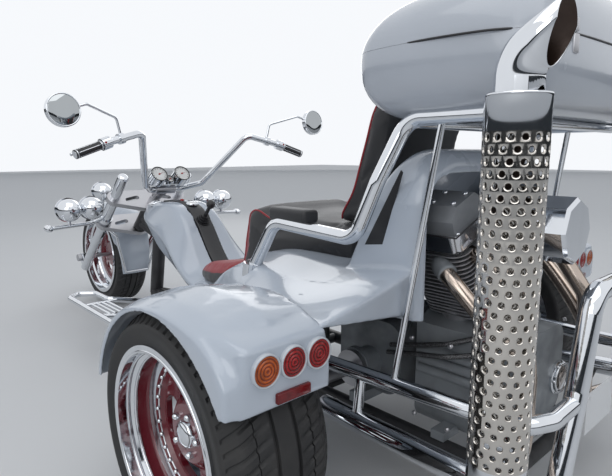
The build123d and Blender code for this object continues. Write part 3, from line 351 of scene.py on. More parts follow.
def turned(rows, origin, axis, steps):
    """The points and faces of rows of (along, radius) turned about an axis through the origin."""
    axis = Vector(axis).normalized()
    side = axis.orthogonal().normalized()
    other = axis.cross(side)
    points = []
    for along, radius in rows:
        for step in range(steps):
            angle = 2 * pi * step / steps
            place = Vector(origin) + axis * along + (side * cos(angle) + other * sin(angle)) * radius
            points.append(tuple(place))
    return points, grid_faces(len(rows), steps, wrap_columns=True)


def joined(parts):
    """Several lists of points and faces as one."""
    points, faces = [], []
    for own_points, own_faces in parts:
        shift = len(points)
        points += own_points
        faces += [tuple(index + shift for index in face) for face in own_faces]
    return points, faces


def smooth_line(points, count):
    """Points evenly spread on a smooth line through the given ones."""
    places = [Vector(point) for point in points]
    dense = []
    for index in range(len(places) - 1):
        before = places[max(index - 1, 0)]
        start, end = places[index], places[index + 1]
        after = places[min(index + 2, len(places) - 1)]
        for step in range(24):
            t = step / 24
            a = -t ** 3 + 2 * t ** 2 - t
            b = 3 * t ** 3 - 5 * t ** 2 + 2
            c = -3 * t ** 3 + 4 * t ** 2 + t
            d = t ** 3 - t ** 2
            dense.append((before * a + start * b + end * c + after * d) / 2)
    dense.append(places[-1])
    lengths = [0.0]
    for first, second in zip(dense, dense[1:]):
        lengths.append(lengths[-1] + (second - first).length)
    line, index = [], 0
    for step in range(count):
        goal = lengths[-1] * step / (count - 1)
        while index < len(dense) - 2 and lengths[index + 1] < goal:
            index += 1
        span = lengths[index + 1] - lengths[index]
        line.append(dense[index].lerp(dense[index + 1], (goal - lengths[index]) / span if span else 0))
    return line


def evened(line):
    """A line with each point drawn towards its neighbours, three times, and its ends kept."""
    for _ in range(3):
        line = line[:1] + [(a + b * 2 + c) / 4 for a, b, c in zip(line, line[1:], line[2:])] + line[-1:]
    return line


def heading(line, index):
    """The direction of a line at one of its points."""
    return (line[min(index + 1, len(line) - 1)] - line[max(index - 1, 0)]).normalized()


def closed_grid(points, rows, columns):
    """The points of closed sections, with the quads between them and a face at each end."""
    faces = grid_faces(rows, columns, wrap_columns=True)
    faces.append(tuple(range(columns)))
    faces.append(tuple(range(len(points) - columns, len(points))))
    return points, faces


def swept(line, radius, steps):
    """The points and faces of a round tube along a line."""
    points = []
    normal = (line[1] - line[0]).orthogonal().normalized()
    for index, place in enumerate(line):
        ahead = heading(line, index)
        normal = (normal - ahead * normal.dot(ahead)).normalized()
        other = ahead.cross(normal)
        for step in range(steps):
            angle = 2 * pi * step / steps
            points.append(tuple(place + (normal * cos(angle) + other * sin(angle)) * radius))
    return closed_grid(points, len(line), steps)


def cut_along(obj, planes, clear_outer=False):
    """Cuts a mesh's faces along planes, and takes away what lies beyond them where that is asked."""
    mesh = bmesh.new()
    mesh.from_mesh(obj.data)
    for place, normal in planes:
        geometry = mesh.verts[:] + mesh.edges[:] + mesh.faces[:]
        bmesh.ops.bisect_plane(mesh, geom=geometry, plane_co=at(*place), plane_no=normal,
                               clear_outer=clear_outer)
    mesh.to_mesh(obj.data)
    mesh.free()


# Tyres
GROOVE_DEPTH = 7
CUT_DEPTH = 5.0
COLUMNS_PER_CUT = 6


def tyre_profile(r, width, bead_r):
    """Rows of (along the axle, radius, depth of slanted cuts) from one bead to the other."""
    half = width / 2
    shoulder = 0.16 * width
    lip_r = bead_r + 16
    side = [(0.465 * width, bead_r), (0.465 * width, lip_r - 6)]
    arc = smooth_line([(half - 9, lip_r, 0), (half, (r + lip_r) / 2, 0),
                       (half - shoulder * 0.35, r - shoulder * 0.55, 0),
                       (half - shoulder * 0.85, r - shoulder * 0.16, 0),
                       (half - shoulder * 1.5, r - 3, 0)], 18)
    rows = [(y, radius, 0.0) for y, radius in side]
    rows += [(point.x, point.y, 0.0 if point.y < r - 0.62 * shoulder else CUT_DEPTH) for point in arc]
    edge = half - shoulder * 1.5
    grooves = (0.1 * width, 0.27 * width)
    stops = {edge - 1.0}
    for groove in grooves:
        stops |= {groove + offset for offset in (-5.5, -4.0, 4.0, 5.5)}
    stops |= {0.0, 0.05 * width, 0.18 * width}
    for y in sorted(stops, reverse=True):
        crown = r - 3 * (y / edge) ** 2
        if any(abs(y - groove) < 4.5 for groove in grooves):
            rows.append((y, crown - GROOVE_DEPTH, 0.0))
        else:
            rows.append((y, crown, CUT_DEPTH if y > 0.15 * width else 0.0))
    mirror_rows = [(-y, radius, cut) for y, radius, cut in reversed(rows)]
    return rows + mirror_rows[1:]


def tyre(name, node, body, centre, r, width, bead_r, cuts):
    """A road tyre with grooves round it and slanted cuts across its shoulders."""
    profile = tyre_profile(r, width, bead_r)
    columns = cuts * COLUMNS_PER_CUT
    points = []
    for along, radius, cut in profile:
        slant = abs(along) / width * 0.35
        for column in range(columns):
            angle = 2 * pi * column / columns + slant * (1 if along > 0 else -1)
            own = radius - (cut if column % COLUMNS_PER_CUT in (0, 1) else 0.0)
            points.append((centre[0] + own * cos(angle), centre[1] + along, centre[2] + own * sin(angle)))
    lowest = min(point[2] for point in points)
    points = [(x, y, max(z, lowest)) for x, y, z in points]
    obj = piece(name, points, grid_faces(len(profile), columns, wrap_columns=True), RUBBER, body, "tyre")
    modify(obj, "EDGE_SPLIT", split_angle=radians(38))
    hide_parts(node)


tyre("front_tyre_tread", "front_tyre", "front_wheel", FRONT_AXLE, 310, 190, 228, 56)
for side_name, side in SIDES:
    centre = (REAR_AXLE[0], side * REAR_AXLE[1], REAR_AXLE[2])
    tyre(f"rear_tyre_tread_{side_name}", f"rear_tyre_{side_name}", f"rear_wheel_{side_name}", centre,
         306, 272, 216, 64)


# Body shells
SHELL_VOXEL = 0.005
LIP_GAP = 0.004
LIP_Y = 650
TAIL_X = -95
LAMP_PANEL_X = -228.5


def own_copy(name, node, body):
    """A copy of a CAD node's mesh as a piece of its own, to be worked on further."""
    obj = bpy.data.objects.new(name, NODES[node].data.copy())
    bpy.context.scene.collection.objects.link(obj)
    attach(obj, body)
    return obj


def applied(obj):
    """The object with its modifiers made part of its mesh."""
    graph = bpy.context.evaluated_depsgraph_get()
    mesh = bpy.data.meshes.new_from_object(obj.evaluated_get(graph))
    obj.modifiers.clear()
    obj.data = mesh
    return obj


def softened(name, node, share):
    """A moulded shell: the node's form with its corners run together, on a share of its faces."""
    obj = own_copy(name, node, "chassis")
    modify(obj, "REMESH", mode="VOXEL", voxel_size=SHELL_VOXEL, use_smooth_shade=True)
    modify(obj, "SMOOTH", factor=0.5, iterations=9)
    modify(obj, "DECIMATE", ratio=share)
    applied(obj)
    obj.data.materials.clear()
    obj.data.materials.append(WHITE)
    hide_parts(node)
    return obj


tub_shell = softened("rear_body_shell", "rear_body", 0.3)
tank_shell = softened("tank_shell", "front_body", 0.5)


def tucked_under(fender, tub):
    """Presses a fender's inner lip down below the tub that lies on it."""
    tree = BVHTree.FromObject(tub, bpy.context.evaluated_depsgraph_get())
    for vertex in fender.data.vertices:
        y = abs(vertex.co.y * 1000)
        if y > LIP_Y or vertex.co.z < 0.5:
            continue
        spot = tree.ray_cast(vertex.co + Vector((0, 0, 0.06)), DOWN, 0.12)[0]
        if spot and vertex.co.z > spot.z - LIP_GAP:
            vertex.co.z += (spot.z - LIP_GAP - vertex.co.z) * min(1, (LIP_Y - y) / 45)


def swollen_tail(obj):
    """Brings the fender's tail out round its lamps, so that they sit flush in an upright panel."""
    for vertex in obj.data.vertices:
        x, y, z = in_mm(vertex.co)
        y = abs(y)
        if x > TAIL_X or z < 480 or vertex.normal.x < -0.999 and x > -150:
            continue
        share = min(1, max(0, (y - 612) / 30)) * min(1, max(0, (872 - y) / 34))
        share = share * share * (3 - 2 * share)
        panel = LAMP_PANEL_X + max(0, z - 588) ** 2 / 11
        outward = vertex.normal.x < 0.15 and (vertex.normal.x < -0.05 or vertex.normal.z > 0)
        if outward and panel < x:
            lift = min(1, max(0, (TAIL_X - x) / 45))
            vertex.co.x += (panel - x) / 1000 * share * lift
    modify(obj, "SMOOTH", factor=0.5, iterations=6)
    applied(obj)


for side_name, side in SIDES:
    shell = softened(f"fender_shell_{side_name}", f"fender_{side_name}", 0.7)
    tucked_under(shell, tub_shell)
    swollen_tail(shell)


# Exhaust stacks
STACK = (-513, 434)
SHIELD_R = 59
PIPE_R = 44
HOLE_COLUMNS = 15
HOLE_ROWS = 30
HOLED_Z = (345, 993)
HOLE_STEPS = 16
# Rows of (radius, depth) from the sheet's square to the hole; None keeps the square
HOLE_RINGS = ((None, 0), (8.6, 0), (7.0, 0.3), (6.1, 1.3), (5.5, 3.0))
PIPE_TURN_R = 58
STACK_MOUTH = (-590, 0, 1170)


def holed_band(centre_y):
    """The shield's middle: a sheet rolled round the pipe, with rows of pressed holes."""
    points, faces = [], []
    row_height = (HOLED_Z[1] - HOLED_Z[0]) / HOLE_ROWS
    width = 2 * pi * SHIELD_R / HOLE_COLUMNS
    square = []
    for step in range(HOLE_STEPS):
        side, share = divmod(step, 4)
        corners = ((-1, -1), (1, -1), (1, 1), (-1, 1), (-1, -1))
        (x0, z0), (x1, z1) = corners[side], corners[side + 1]
        square.append(((x0 + (x1 - x0) * share / 4) * width / 2,
                       (z0 + (z1 - z0) * share / 4) * row_height / 2))
    for row in range(HOLE_ROWS):
        for column in range(HOLE_COLUMNS):
            first = len(points)
            middle_u = (column + 0.5 * (row % 2)) * width
            middle_z = HOLED_Z[0] + (row + 0.5) * row_height
            for radius, sink in HOLE_RINGS:
                for u, z in square:
                    if radius:
                        reach = sqrt(u * u + z * z)
                        u, z = u * radius / reach, z * radius / reach
                    angle = (middle_u + u) / SHIELD_R
                    r = SHIELD_R - sink
                    points.append((STACK[0] + r * cos(angle), centre_y + r * sin(angle), middle_z + z))
            for face in grid_faces(len(HOLE_RINGS), HOLE_STEPS, wrap_columns=True):
                faces.append(tuple(first + index for index in face))
    return points, faces


def stack(name, side):
    """A stack: its holed shield, the plain bands and the pipe with its slanted mouth."""
    centre_y = side * STACK[1]
    body, slot = "chassis", "chrome"
    foot = (STACK[0], centre_y, 0)
    shield = piece(f"stack_shield_{name}", *holed_band(centre_y), WARM_SHIELD, body, slot)
    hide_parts(f"stack_{name}")
    low, high = HOLED_Z
    bands = [
        turned([(300, 45), (293, 46), (292, 57), (294, 59), (low, 59)], foot, (0, 0, 1), 60),
        turned([(high, 59), (1053, 59), (1056, 60.2), (1059, 59.6), (1060, 57.5), (1056, 56), (1052, 45)],
               foot, (0, 0, 1), 60),
    ]
    piece(f"stack_bands_{name}", *joined(bands), CHROME, body, slot)
    lean = atan2(1200 - 1120, STACK[0] + 650)
    line = [Vector((STACK[0], centre_y, z)) for z in (218, 300, 600, 900, 1040)]
    sweep_angle = radians(90) - lean
    start_z = 1120 - PIPE_TURN_R * tan(sweep_angle / 2)
    for step in range(17):
        angle = sweep_angle * step / 16
        back = PIPE_TURN_R * (1 - cos(angle))
        line.append(Vector((STACK[0] - back, centre_y, start_z + PIPE_TURN_R * sin(angle))))
    ahead = Vector((-cos(lean), 0, sin(lean)))
    line.append(line[-1] + ahead * 90)
    pipe = piece(f"stack_pipe_{name}", *swept(line, PIPE_R, 48), [CHROME, SOOT], body, slot)
    cut_along(pipe, ((STACK_MOUTH, (-1, 0, 0)), (STACK_MOUTH, (-102, 0, -34))), clear_outer=True)
    modify(pipe, "SOLIDIFY", thickness=0.0025, offset=-1, material_offset=1)


WARM_SHIELD = polished("shield_plate", (0.60, 0.57, 0.53), 0.07, 0.08)
for side_name, side in SIDES:
    stack(side_name, side)


# Tail lamps and reflectors
LAMP_CENTRES = (663, 731, 799)
LAMP_SIDES = 48
LENS_R = 29.5
LENS_STEPS = 48
STEPS_PER_RING = 12


def tail_lamp(name, y, finish):
    """A round lamp: a white bezel and a lens pressed with rings, with painted shade in the rings' grooves."""
    origin = (-203, y, 551)
    bezel = [(0, 34), (30, 34), (34, 33.4), (35, 32), (35, 30.5), (31, LENS_R)]
    ring = piece(f"lamp_bezel_{name}", *turned(bezel, origin, (-1, 0, 0), LAMP_SIDES), CLEAR_WHITE,
                 "chassis", "white_body")
    rows = []
    for step in range(LENS_STEPS + 1):
        r = LENS_R * (1 - step / LENS_STEPS)
        crown = 31 + 4.5 * sqrt(max(0, 1 - (r / 31) ** 2))
        wave = 1.1 * sin(2 * pi * step / STEPS_PER_RING) if r < 28 else 0
        rows.append((crown + wave, max(r, 0.05)))
    # The faces in the sunken half of each ring take the darker finish: painted shade in the grooves.
    marks = [1 if k // LAMP_SIDES % STEPS_PER_RING in (6, 7, 8, 9, 10) else 0
             for k in range(LAMP_SIDES * LENS_STEPS)]
    face = piece(f"lamp_lens_{name}", *turned(rows, origin, (-1, 0, 0), LAMP_SIDES), finish,
                 "chassis", "lamp_red", marks=marks)
    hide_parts("tail_lamps")
    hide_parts("tail_lamps")


CLEAR_WHITE = gloss_paint("lamp_bezel_white", (0.55, 0.58, 0.62), (0.4, 0.42, 0.45))
for side_name, side in SIDES:
    for index, y in enumerate(LAMP_CENTRES):
        tail_lamp(f"{side_name}_{index + 1}", side * y,
                  (AMBER, AMBER_GROOVE_SHADE) if index == 2 else (RED_LENS, RED_GROOVE_SHADE))


def rounded_bar(low, high, r, steps=4):
    """The points and faces of a bar with rounded edges, from its low to its high corner."""
    mesh = bmesh.new()
    bmesh.ops.create_cube(mesh, size=1)
    size = Vector(high) - Vector(low)
    middle = (Vector(high) + Vector(low)) / 2
    for vertex in mesh.verts:
        vertex.co = Vector([vertex.co[k] * size[k] + middle[k] for k in range(3)])
    bmesh.ops.bevel(mesh, geom=mesh.edges[:], offset=r, segments=steps, profile=0.5, affect="EDGES")
    points = [tuple(vertex.co) for vertex in mesh.verts]
    faces = [tuple(vertex.index for vertex in face.verts) for face in mesh.faces]
    mesh.free()
    return points, faces


for side_name, side in SIDES:
    y_low, y_high = sorted((side * 686, side * 774))
    # Each strip's finish glows faintly: painted glow.
    strip = piece(f"reflector_{side_name}", *rounded_bar((-237, y_low, 474), (-222, y_high, 496), 3),
                  DARK_RED, "chassis", "lamp_red")
    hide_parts("tail_lamps")


# Seats
CUSHION_VOXEL = 0.005
CLOTH_FRAMES = 20
PROFILE_POINTS = 60


def filled(obj, grow):
    """Stuffs a cushion: a cloth cover blown up from inside, with no point moved further than grow."""
    modify(obj, "REMESH", mode="VOXEL", voxel_size=CUSHION_VOXEL, use_smooth_shade=True)
    applied(obj)
    before = [vertex.co.copy() for vertex in obj.data.vertices]
    cloth = obj.modifiers.new("cover", "CLOTH")
    cloth.settings.use_pressure = True
    cloth.settings.uniform_pressure_force = 4
    cloth.settings.quality = 5
    cloth.settings.effector_weights.gravity = 0
    cloth.collision_settings.use_collision = False
    for number in range(1, CLOTH_FRAMES + 1):
        bpy.context.scene.frame_set(number)
    applied(obj)
    bpy.context.scene.frame_set(1)
    for vertex, old in zip(obj.data.vertices, before):
        move = vertex.co - old
        if move.length > grow:
            vertex.co = old + move * (grow / move.length)
    modify(obj, "SMOOTH", factor=0.5, iterations=4)
    return applied(obj)


def painted(obj, finishes, choose):
    """Gives each face of a mesh the finish that choose names for its middle, in millimetres."""
    obj.data.materials.clear()
    for finish in finishes:
        obj.data.materials.append(finish)
    for face in obj.data.polygons:
        face.material_index = choose(in_mm(face.center), face.normal)
        face.use_smooth = True


def pad_from_profile(outline, half, crown):
    """A closed pad from its side outline: full in the middle, drawn in towards its two sides."""
    middle_x = sum(x for x, _ in outline) / len(outline)
    middle_z = sum(z for _, z in outline) / len(outline)
    dense = smooth_line([(x, z, 0) for x, z in outline + outline[:1]], PROFILE_POINTS + 1)[:-1]
    stations = ((-half, 0.6), (-half + 4, 0.86), (-half + 14, 0.95), (-half * 0.72, 0.985),
                (-half * 0.4, 1.0), (0, 1 + crown))
    stations = list(stations) + [(-y, scale) for y, scale in reversed(stations[:-1])]
    points = []
    for y, scale in stations:
        for place in dense:
            points.append((middle_x + (place.x - middle_x) * scale, y,
                           middle_z + (place.y - middle_z) * scale))
    return closed_grid(points, len(stations), PROFILE_POINTS)


def rider_pad():
    """The rider's seat: a wide pad that rises and narrows towards the tank."""
    stations = (
        (1034, 132, 165, 400, 440, 462), (1015, 150, 180, 392, 446, 470), (940, 168, 214, 398, 458, 486),
        (860, 188, 240, 402, 470, 502), (760, 205, 262, 415, 490, 520), (690, 216, 272, 430, 508, 536),
        (664, 214, 262, 440, 512, 538),
    )
    points = []
    for x, foot, waist, z0, z1, z2 in stations:
        half = [(foot, z0, 0), (waist * 0.985, (z0 + z1) / 2, 0), (waist, z1, 0),
                (waist * 0.9, z1 + (z2 - z1) * 0.72, 0), (waist * 0.62, z2, 0), (waist * 0.3, z2 - 5, 0),
                (0, z2 - 8, 0)]
        line = smooth_line(half, 20)
        ring = ([(x, place.x, place.y) for place in line]
                + [(x, -place.x, place.y) for place in reversed(line[:-1])])
        points += ring
    count = 39
    faces = grid_faces(len(stations), count)
    for row in range(len(stations) - 1):
        faces.append((row * count, (row + 1) * count, (row + 2) * count - 1, (row + 1) * count - 1))
    faces.append(tuple(range(count)))
    faces.append(tuple(range(len(points) - count, len(points))))
    return points, faces


def piping(name, cushion, line, finish, r=3.4):
    """A thin welt sewn along an edge of a cushion, lying on its cover."""
    seam = []
    for place in smooth_line(line, 60):
        found, spot, normal, _ = cushion.closest_point_on_mesh(at(*place))
        seam.append(Vector(in_mm(spot)) + normal * (0.3 * r) if found else place)
    piece(name, *swept(evened(seam), r, 8), finish, "chassis", "black_vinyl")


PANEL_Y = 88
HUMP_PANEL_Y = 150
BACK_PANEL_Y = 115
rider = piece("rider_cushion", *rider_pad(), BLACK_VINYL, "chassis", "black_vinyl")
filled(rider, 0.008)
cut_along(rider, [((0, PANEL_Y, 0), (0, 1, 0)), ((0, -PANEL_Y, 0), (0, 1, 0))])
painted(rider, (BLACK_VINYL, RED_VINYL),
        lambda place, normal: 1 if abs(place[1]) > PANEL_Y and normal.z > 0.42 else 0)
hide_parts("rider_seat")

hump_outline = [(60, 640), (56, 700), (66, 726), (150, 733), (300, 734), (440, 738), (505, 756),
                (548, 764), (590, 742), (618, 670), (634, 590), (636, 530), (560, 525), (400, 560),
                (250, 590)]
hump = piece("passenger_cushion", *pad_from_profile(hump_outline, 243, 0.004), BLACK_VINYL,
             "chassis", "black_vinyl")
filled(hump, 0.009)
cut_along(hump, [((0, HUMP_PANEL_Y, 0), (0, 1, 0)), ((0, -HUMP_PANEL_Y, 0), (0, 1, 0))])
painted(hump, (BLACK_VINYL, RED_VINYL),
        lambda place, normal: 1 if abs(place[1]) > HUMP_PANEL_Y and normal.x > 0.35 and place[0] > 560
        else 0)
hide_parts("passenger_seat")
for side_name, side in SIDES:
    edge = [(640, side * 236, 535), (636, side * 238, 600), (616, side * 240, 690), (588, side * 240, 745),
            (546, side * 238, 767), (500, side * 238, 757), (440, side * 238, 742), (300, side * 238, 737)]
    piping(f"hump_welt_{side_name}", hump, edge, RED_VINYL)

back_outline = [(66, 742), (120, 742), (178, 744), (150, 785), (124, 824), (101, 890), (86, 940),
                (64, 1010), (40, 1088), (18, 1116), (-24, 1117), (-38, 1090), (-20, 1000), (2, 920),
                (32, 820)]
backrest = piece("backrest_cushion", *pad_from_profile(back_outline, 194, 0.02), BLACK_VINYL,
                 "chassis", "black_vinyl")
filled(backrest, 0.008)
painted(backrest, (BLACK_VINYL, RED_VINYL),
        lambda place, normal: 1 if abs(place[1]) > BACK_PANEL_Y and normal.x > 0.5 else 0)
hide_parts("backrest")
for side_name, side in SIDES:
    edge = [(176, side * 193, 750), (148, side * 194, 790), (124, side * 195, 830), (90, side * 195, 930),
            (64, side * 194, 1012), (40, side * 190, 1092), (22, side * 176, 1116), (14, side * 120, 1120),
            (14, side * 50, 1121), (14, 0, 1121)]
    piping(f"backrest_welt_{side_name}", backrest, edge, RED_VINYL)
for side_name, side in SIDES:
    y_low, y_high = sorted((side * 355, side * 415))
    pad = piece(f"armrest_pad_{side_name}", *rounded_bar((82, y_low, 760), (240, y_high, 800), 12),
                BLACK_VINYL, "chassis", "black_vinyl")
    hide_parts("armrests")


# Dials
DIAL_TILT = radians(35)


def dial(name, place, r, body):
    """A round dial: a white face with hour marks, a red hand and a black rim."""
    normal = Vector((-cos(DIAL_TILT), 0, sin(DIAL_TILT)))
    side = Vector((0, 1, 0))
    up = normal.cross(side)
    if up.z < 0:
        up = -up
    centre = Vector(place) + normal * 0.6
    points, faces = turned([(0, r - 3), (0, 0.01)], centre, normal, 40)
    piece(f"{name}_face", points, faces, DIAL, body, "plate")
    rim = turned([(-2, r), (3.5, r), (5, r - 1.5), (5, r - 4), (1, r - 5)], Vector(place), normal, 40)
    piece(f"{name}_rim", *rim, BLACK_TRIM, body, "black_trim")
    marks = []
    for index in range(21):
        angle = radians(-130 + 13 * index)
        outward = up * cos(angle) + side * sin(angle)
        across = outward.cross(normal)
        inner, outer, wide = (r - 15, r - 7, 1.0) if index % 2 == 0 else (r - 11, r - 7, 0.5)
        corners = [centre + normal * 0.5 + outward * reach + across * wide * sign
                   for reach, sign in ((inner, -1), (inner, 1), (outer, 1), (outer, -1))]
        marks.append(([tuple(corner) for corner in corners], [(0, 1, 2, 3)]))
    piece(f"{name}_marks", *joined(marks), BLACK_TRIM, body, "black_trim", smooth=False)
    angle = radians(-70)
    outward = up * cos(angle) + side * sin(angle)
    across = outward.cross(normal)
    lift = centre + normal * 1.6
    hand = [tuple(lift - outward * 8 + across * 1.6), tuple(lift - outward * 8 - across * 1.6),
            tuple(lift + outward * (r - 9))]
    hub = turned([(0.6, 4.5), (3, 4.5), (3.6, 3), (3.6, 0.01)], centre, normal, 16)
    # The red hand and its hub take the red lens finish, so they glow faintly: painted glow, as a hand is no
    # lamp.
    piece(f"{name}_hand", *joined([(hand, [(0, 1, 2)]), hub]), RED_LENS, body, "lamp_red", smooth=False)


dial("speed_dial", (1577, 66, 849), 44, "steering")
dial("engine_dial", (1577, -66, 849), 44, "steering")
dial("small_dial", (1590, 0, 821), 22, "steering")


# Bolts, wheel trim and the engine's small fittings
def bolt_at(origin, axis, r, tall):
    """The points and faces of a domed bolt head standing on a face."""
    rows = [(-1, r), (tall * 0.55, r), (tall * 0.85, r * 0.72), (tall, r * 0.4), (tall, 0.05)]
    return turned(rows, origin, axis, 10)


def ring_round(centre, axis, radius, thick, steps=72):
    """The points and faces of a round wire ring about an axis."""
    rows = [(thick * sin(2 * pi * k / 10), radius + thick * cos(2 * pi * k / 10)) for k in range(11)]
    return turned(rows, centre, axis, steps)


def wheel_trim(name, body, centre, side, bead_r, lip_y, face_y):
    """A painted barrel inside the rim, three bright rings, the clips round the centre and the hub nuts."""
    x, y, z = centre
    axis = (0, side, 0)
    well = bead_r - 42
    barrel = [(face_y + 9, well - 1), (lip_y - 79, well - 0.8), (lip_y - 71, bead_r - 22),
              (lip_y - 62, bead_r - 19), (lip_y - 40, bead_r - 19)]
    piece(f"{name}_barrel", *turned(barrel, centre, axis, 72), MAROON, body, "wheel_red")
    rings = [ring_round((x, y + side * (lip_y - 34), z), axis, bead_r - 19, 3.2),
             ring_round((x, y + side * (lip_y - 18), z), axis, bead_r - 9, 3.0),
             ring_round((x, y + side * (lip_y + 6), z), axis, bead_r - 3, 4.0)]
    piece(f"{name}_rings", *joined(rings), CHROME, body, "chrome")
    clips = [ring_round((x, y + side * (face_y + 10), z), axis, well - 12, 2.6)]
    for index in range(30):
        angle = 2 * pi * index / 30
        place = (x + (well - 12) * cos(angle), y + side * (face_y + 10), z + (well - 12) * sin(angle))
        clips.append(bolt_at(place, axis, 6.5, 9))
    piece(f"{name}_clips", *joined(clips), CHROME, body, "chrome")
    cap = [(face_y + 20, 34), (face_y + 30, 33), (face_y + 36, 28), (face_y + 40, 18), (face_y + 41, 0.05)]
    nuts = [turned(cap, centre, axis, 32)]
    for index in range(5):
        angle = 2 * pi * (index + 0.5) / 5
        place = (x + 50 * cos(angle), y + side * (face_y + 21), z + 50 * sin(angle))
        nuts.append(bolt_at(place, axis, 9, 16))
    piece(f"{name}_hub_nuts", *joined(nuts), CHROME, body, "chrome")


for side_name, side in SIDES:
    centre = (REAR_AXLE[0], side * REAR_AXLE[1], REAR_AXLE[2])
    wheel_trim(f"rear_wheel_{side_name}", f"rear_wheel_{side_name}", centre, side, 216, 126.5, 35)


def on_cylinder(side, x, y, z):
    """A place given up and across a leaning cylinder, in the trike's own millimetres."""
    lean = CYLINDER_LEAN * side
    foot_x, _, foot_z = CYLINDER_FOOT
    return (foot_x + x, y * cos(lean) + z * sin(lean), foot_z - y * sin(lean) + z * cos(lean))


for side_name, side in SIDES:
    up = Vector((0, sin(CYLINDER_LEAN * side), cos(CYLINDER_LEAN)))
    heads = [bolt_at(on_cylinder(side, x, y, 554.3), up, 7, 6) for x in (-58, 0, 58) for y in (-28, 28)]
    heads += [bolt_at(on_cylinder(side, x, y, 486.3), up, 6, 7) for x in (-76, 76) for y in (-60, 60)]
    piece(f"rocker_bolts_{side_name}", *joined(heads), CHROME, "chassis", "chrome")
    gasket = []
    for z in (439.5, 486.5):
        outline = [(-82, -78), (82, -78), (82, 78), (-82, 78)]
        corners = [Vector(on_cylinder(side, x, y, z)) for x, y in outline]
        dense = [corners[k].lerp(corners[(k + 1) % 4], t / 4)
                 for k in range(4) for t in range(4)] + [corners[0]]
        gasket.append(swept(dense, 2.2, 8))
    piece(f"rocker_gaskets_{side_name}", *joined(gasket), BLACK_TRIM, "chassis", "black_trim")
    heads = [bolt_at((x, side * 225, z), (0, side, 0), 7, 7)
             for x, z in ((-375, 240), (-270, 232), (-165, 240), (-375, 460), (-270, 462), (-150, 455),
                          (-142, 320))]
    piece(f"case_bolts_{side_name}", *joined(heads), STEEL, "chassis", "steel")
cover_ring = [ring_round((-410, -145, 310), (-1, 0, 0), 42, 3, 40)]
for index in range(6):
    angle = pi / 3 * index
    cover_ring.append(bolt_at((-405, -145 + 44 * cos(angle), 310 + 44 * sin(angle)), (-1, 0, 0), 4.5, 6))
piece("cover_bolts", *joined(cover_ring), CHROME, "chassis", "chrome")


# Top box: rubber seal and latches
SEAL_Z = 1190.3
BOX_PARTING_Z = 1190
BOX_EDGE = ((-58, 0), (-58, 180), (-58, 290), (-66, 345), (-100, 378), (-160, 394), (-272, 405),
            (-370, 398), (-440, 380), (-490, 335), (-517, 270), (-530, 160), (-535, 0))
edge_line = ([(x, y, SEAL_Z) for x, y in BOX_EDGE] + [(x, -y, SEAL_Z) for x, y in BOX_EDGE[-2:0:-1]]
             + [(-58, 0, SEAL_Z)])
piece("box_seal", *swept(smooth_line(edge_line, 240), 2.6, 8), BLACK_TRIM, "chassis", "black_trim")


def latch(name, x, y, outward):
    """An over-centre catch: a keeper on the lid and a lever on the base."""
    outward = Vector(outward).normalized()
    turn = atan2(outward.y, outward.x)

    def placed(part):
        points, faces = part
        spot = []
        for px, py, pz in points:
            spot.append((x + px * cos(turn) - py * sin(turn), y + px * sin(turn) + py * cos(turn),
                         BOX_PARTING_Z + pz))
        return spot, faces

    base = joined([placed(rounded_bar((-6, -13, -46), (5, 13, -6), 2.5)),
                   placed(rounded_bar((3, -9, -40), (11, 9, -2), 3))])
    piece(f"{name}_lever", *base, STEEL, "chassis", "steel")
    keeper = placed(rounded_bar((-14, -12, 3), (7, 12, 30), 3))
    piece(f"{name}_keeper", *keeper, STEEL, "box_lid", "steel")


for side_name, side in SIDES:
    latch(f"box_latch_{side_name}", -523, side * 240, (-1, side * 0.2, 0))


# Console: its strip, warning lights, a round gauge and the fuel cap
STRIP_CROWN = 4.4


def strip_line():
    """The line of the strip: along the tank's crest, and down its back to the seat."""
    graph = bpy.context.evaluated_depsgraph_get()
    trees = [BVHTree.FromObject(obj, graph) for obj in (tank_shell, NODES["console"])]
    line = []
    for x in range(1590, 1050, -10):
        heights = []
        for tree in trees:
            for y in (0, 30, -30, 54, -54):
                spot = tree.ray_cast(at(x, y, 1000), DOWN, 0.58)[0]
                heights += [spot.z * 1000] if spot else []
        if heights:
            line.append(Vector((x, 0, max(heights))))
    return evened(line)


def strip_shape(line):
    """The moulded strip along its line: flat on top, with rounded edges."""
    edge = [(-42, -14), (-42, 0), (-40.5, 2.5), (-37, 3.6), (0, STRIP_CROWN), (37, 3.6), (40.5, 2.5), (42, 0),
            (42, -14)]
    points = []
    for index, place in enumerate(line):
        ahead = heading(line, index)
        up = Vector((ahead.z, 0, -ahead.x))
        points += [tuple(place + Vector((0, y, 0)) + up * lift) for y, lift in edge]
    return closed_grid(points, len(line), len(edge))


CREST = strip_line()
console = piece("console_strip", *strip_shape(CREST), BLACK_TRIM, "chassis", "black_trim")
modify(console, "EDGE_SPLIT", split_angle=radians(50))
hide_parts("console")


def on_console(x):
    """A place on the middle of the strip."""
    nearest = min(CREST, key=lambda place: abs(place.x - x))
    return (x, 0, nearest.z + STRIP_CROWN)


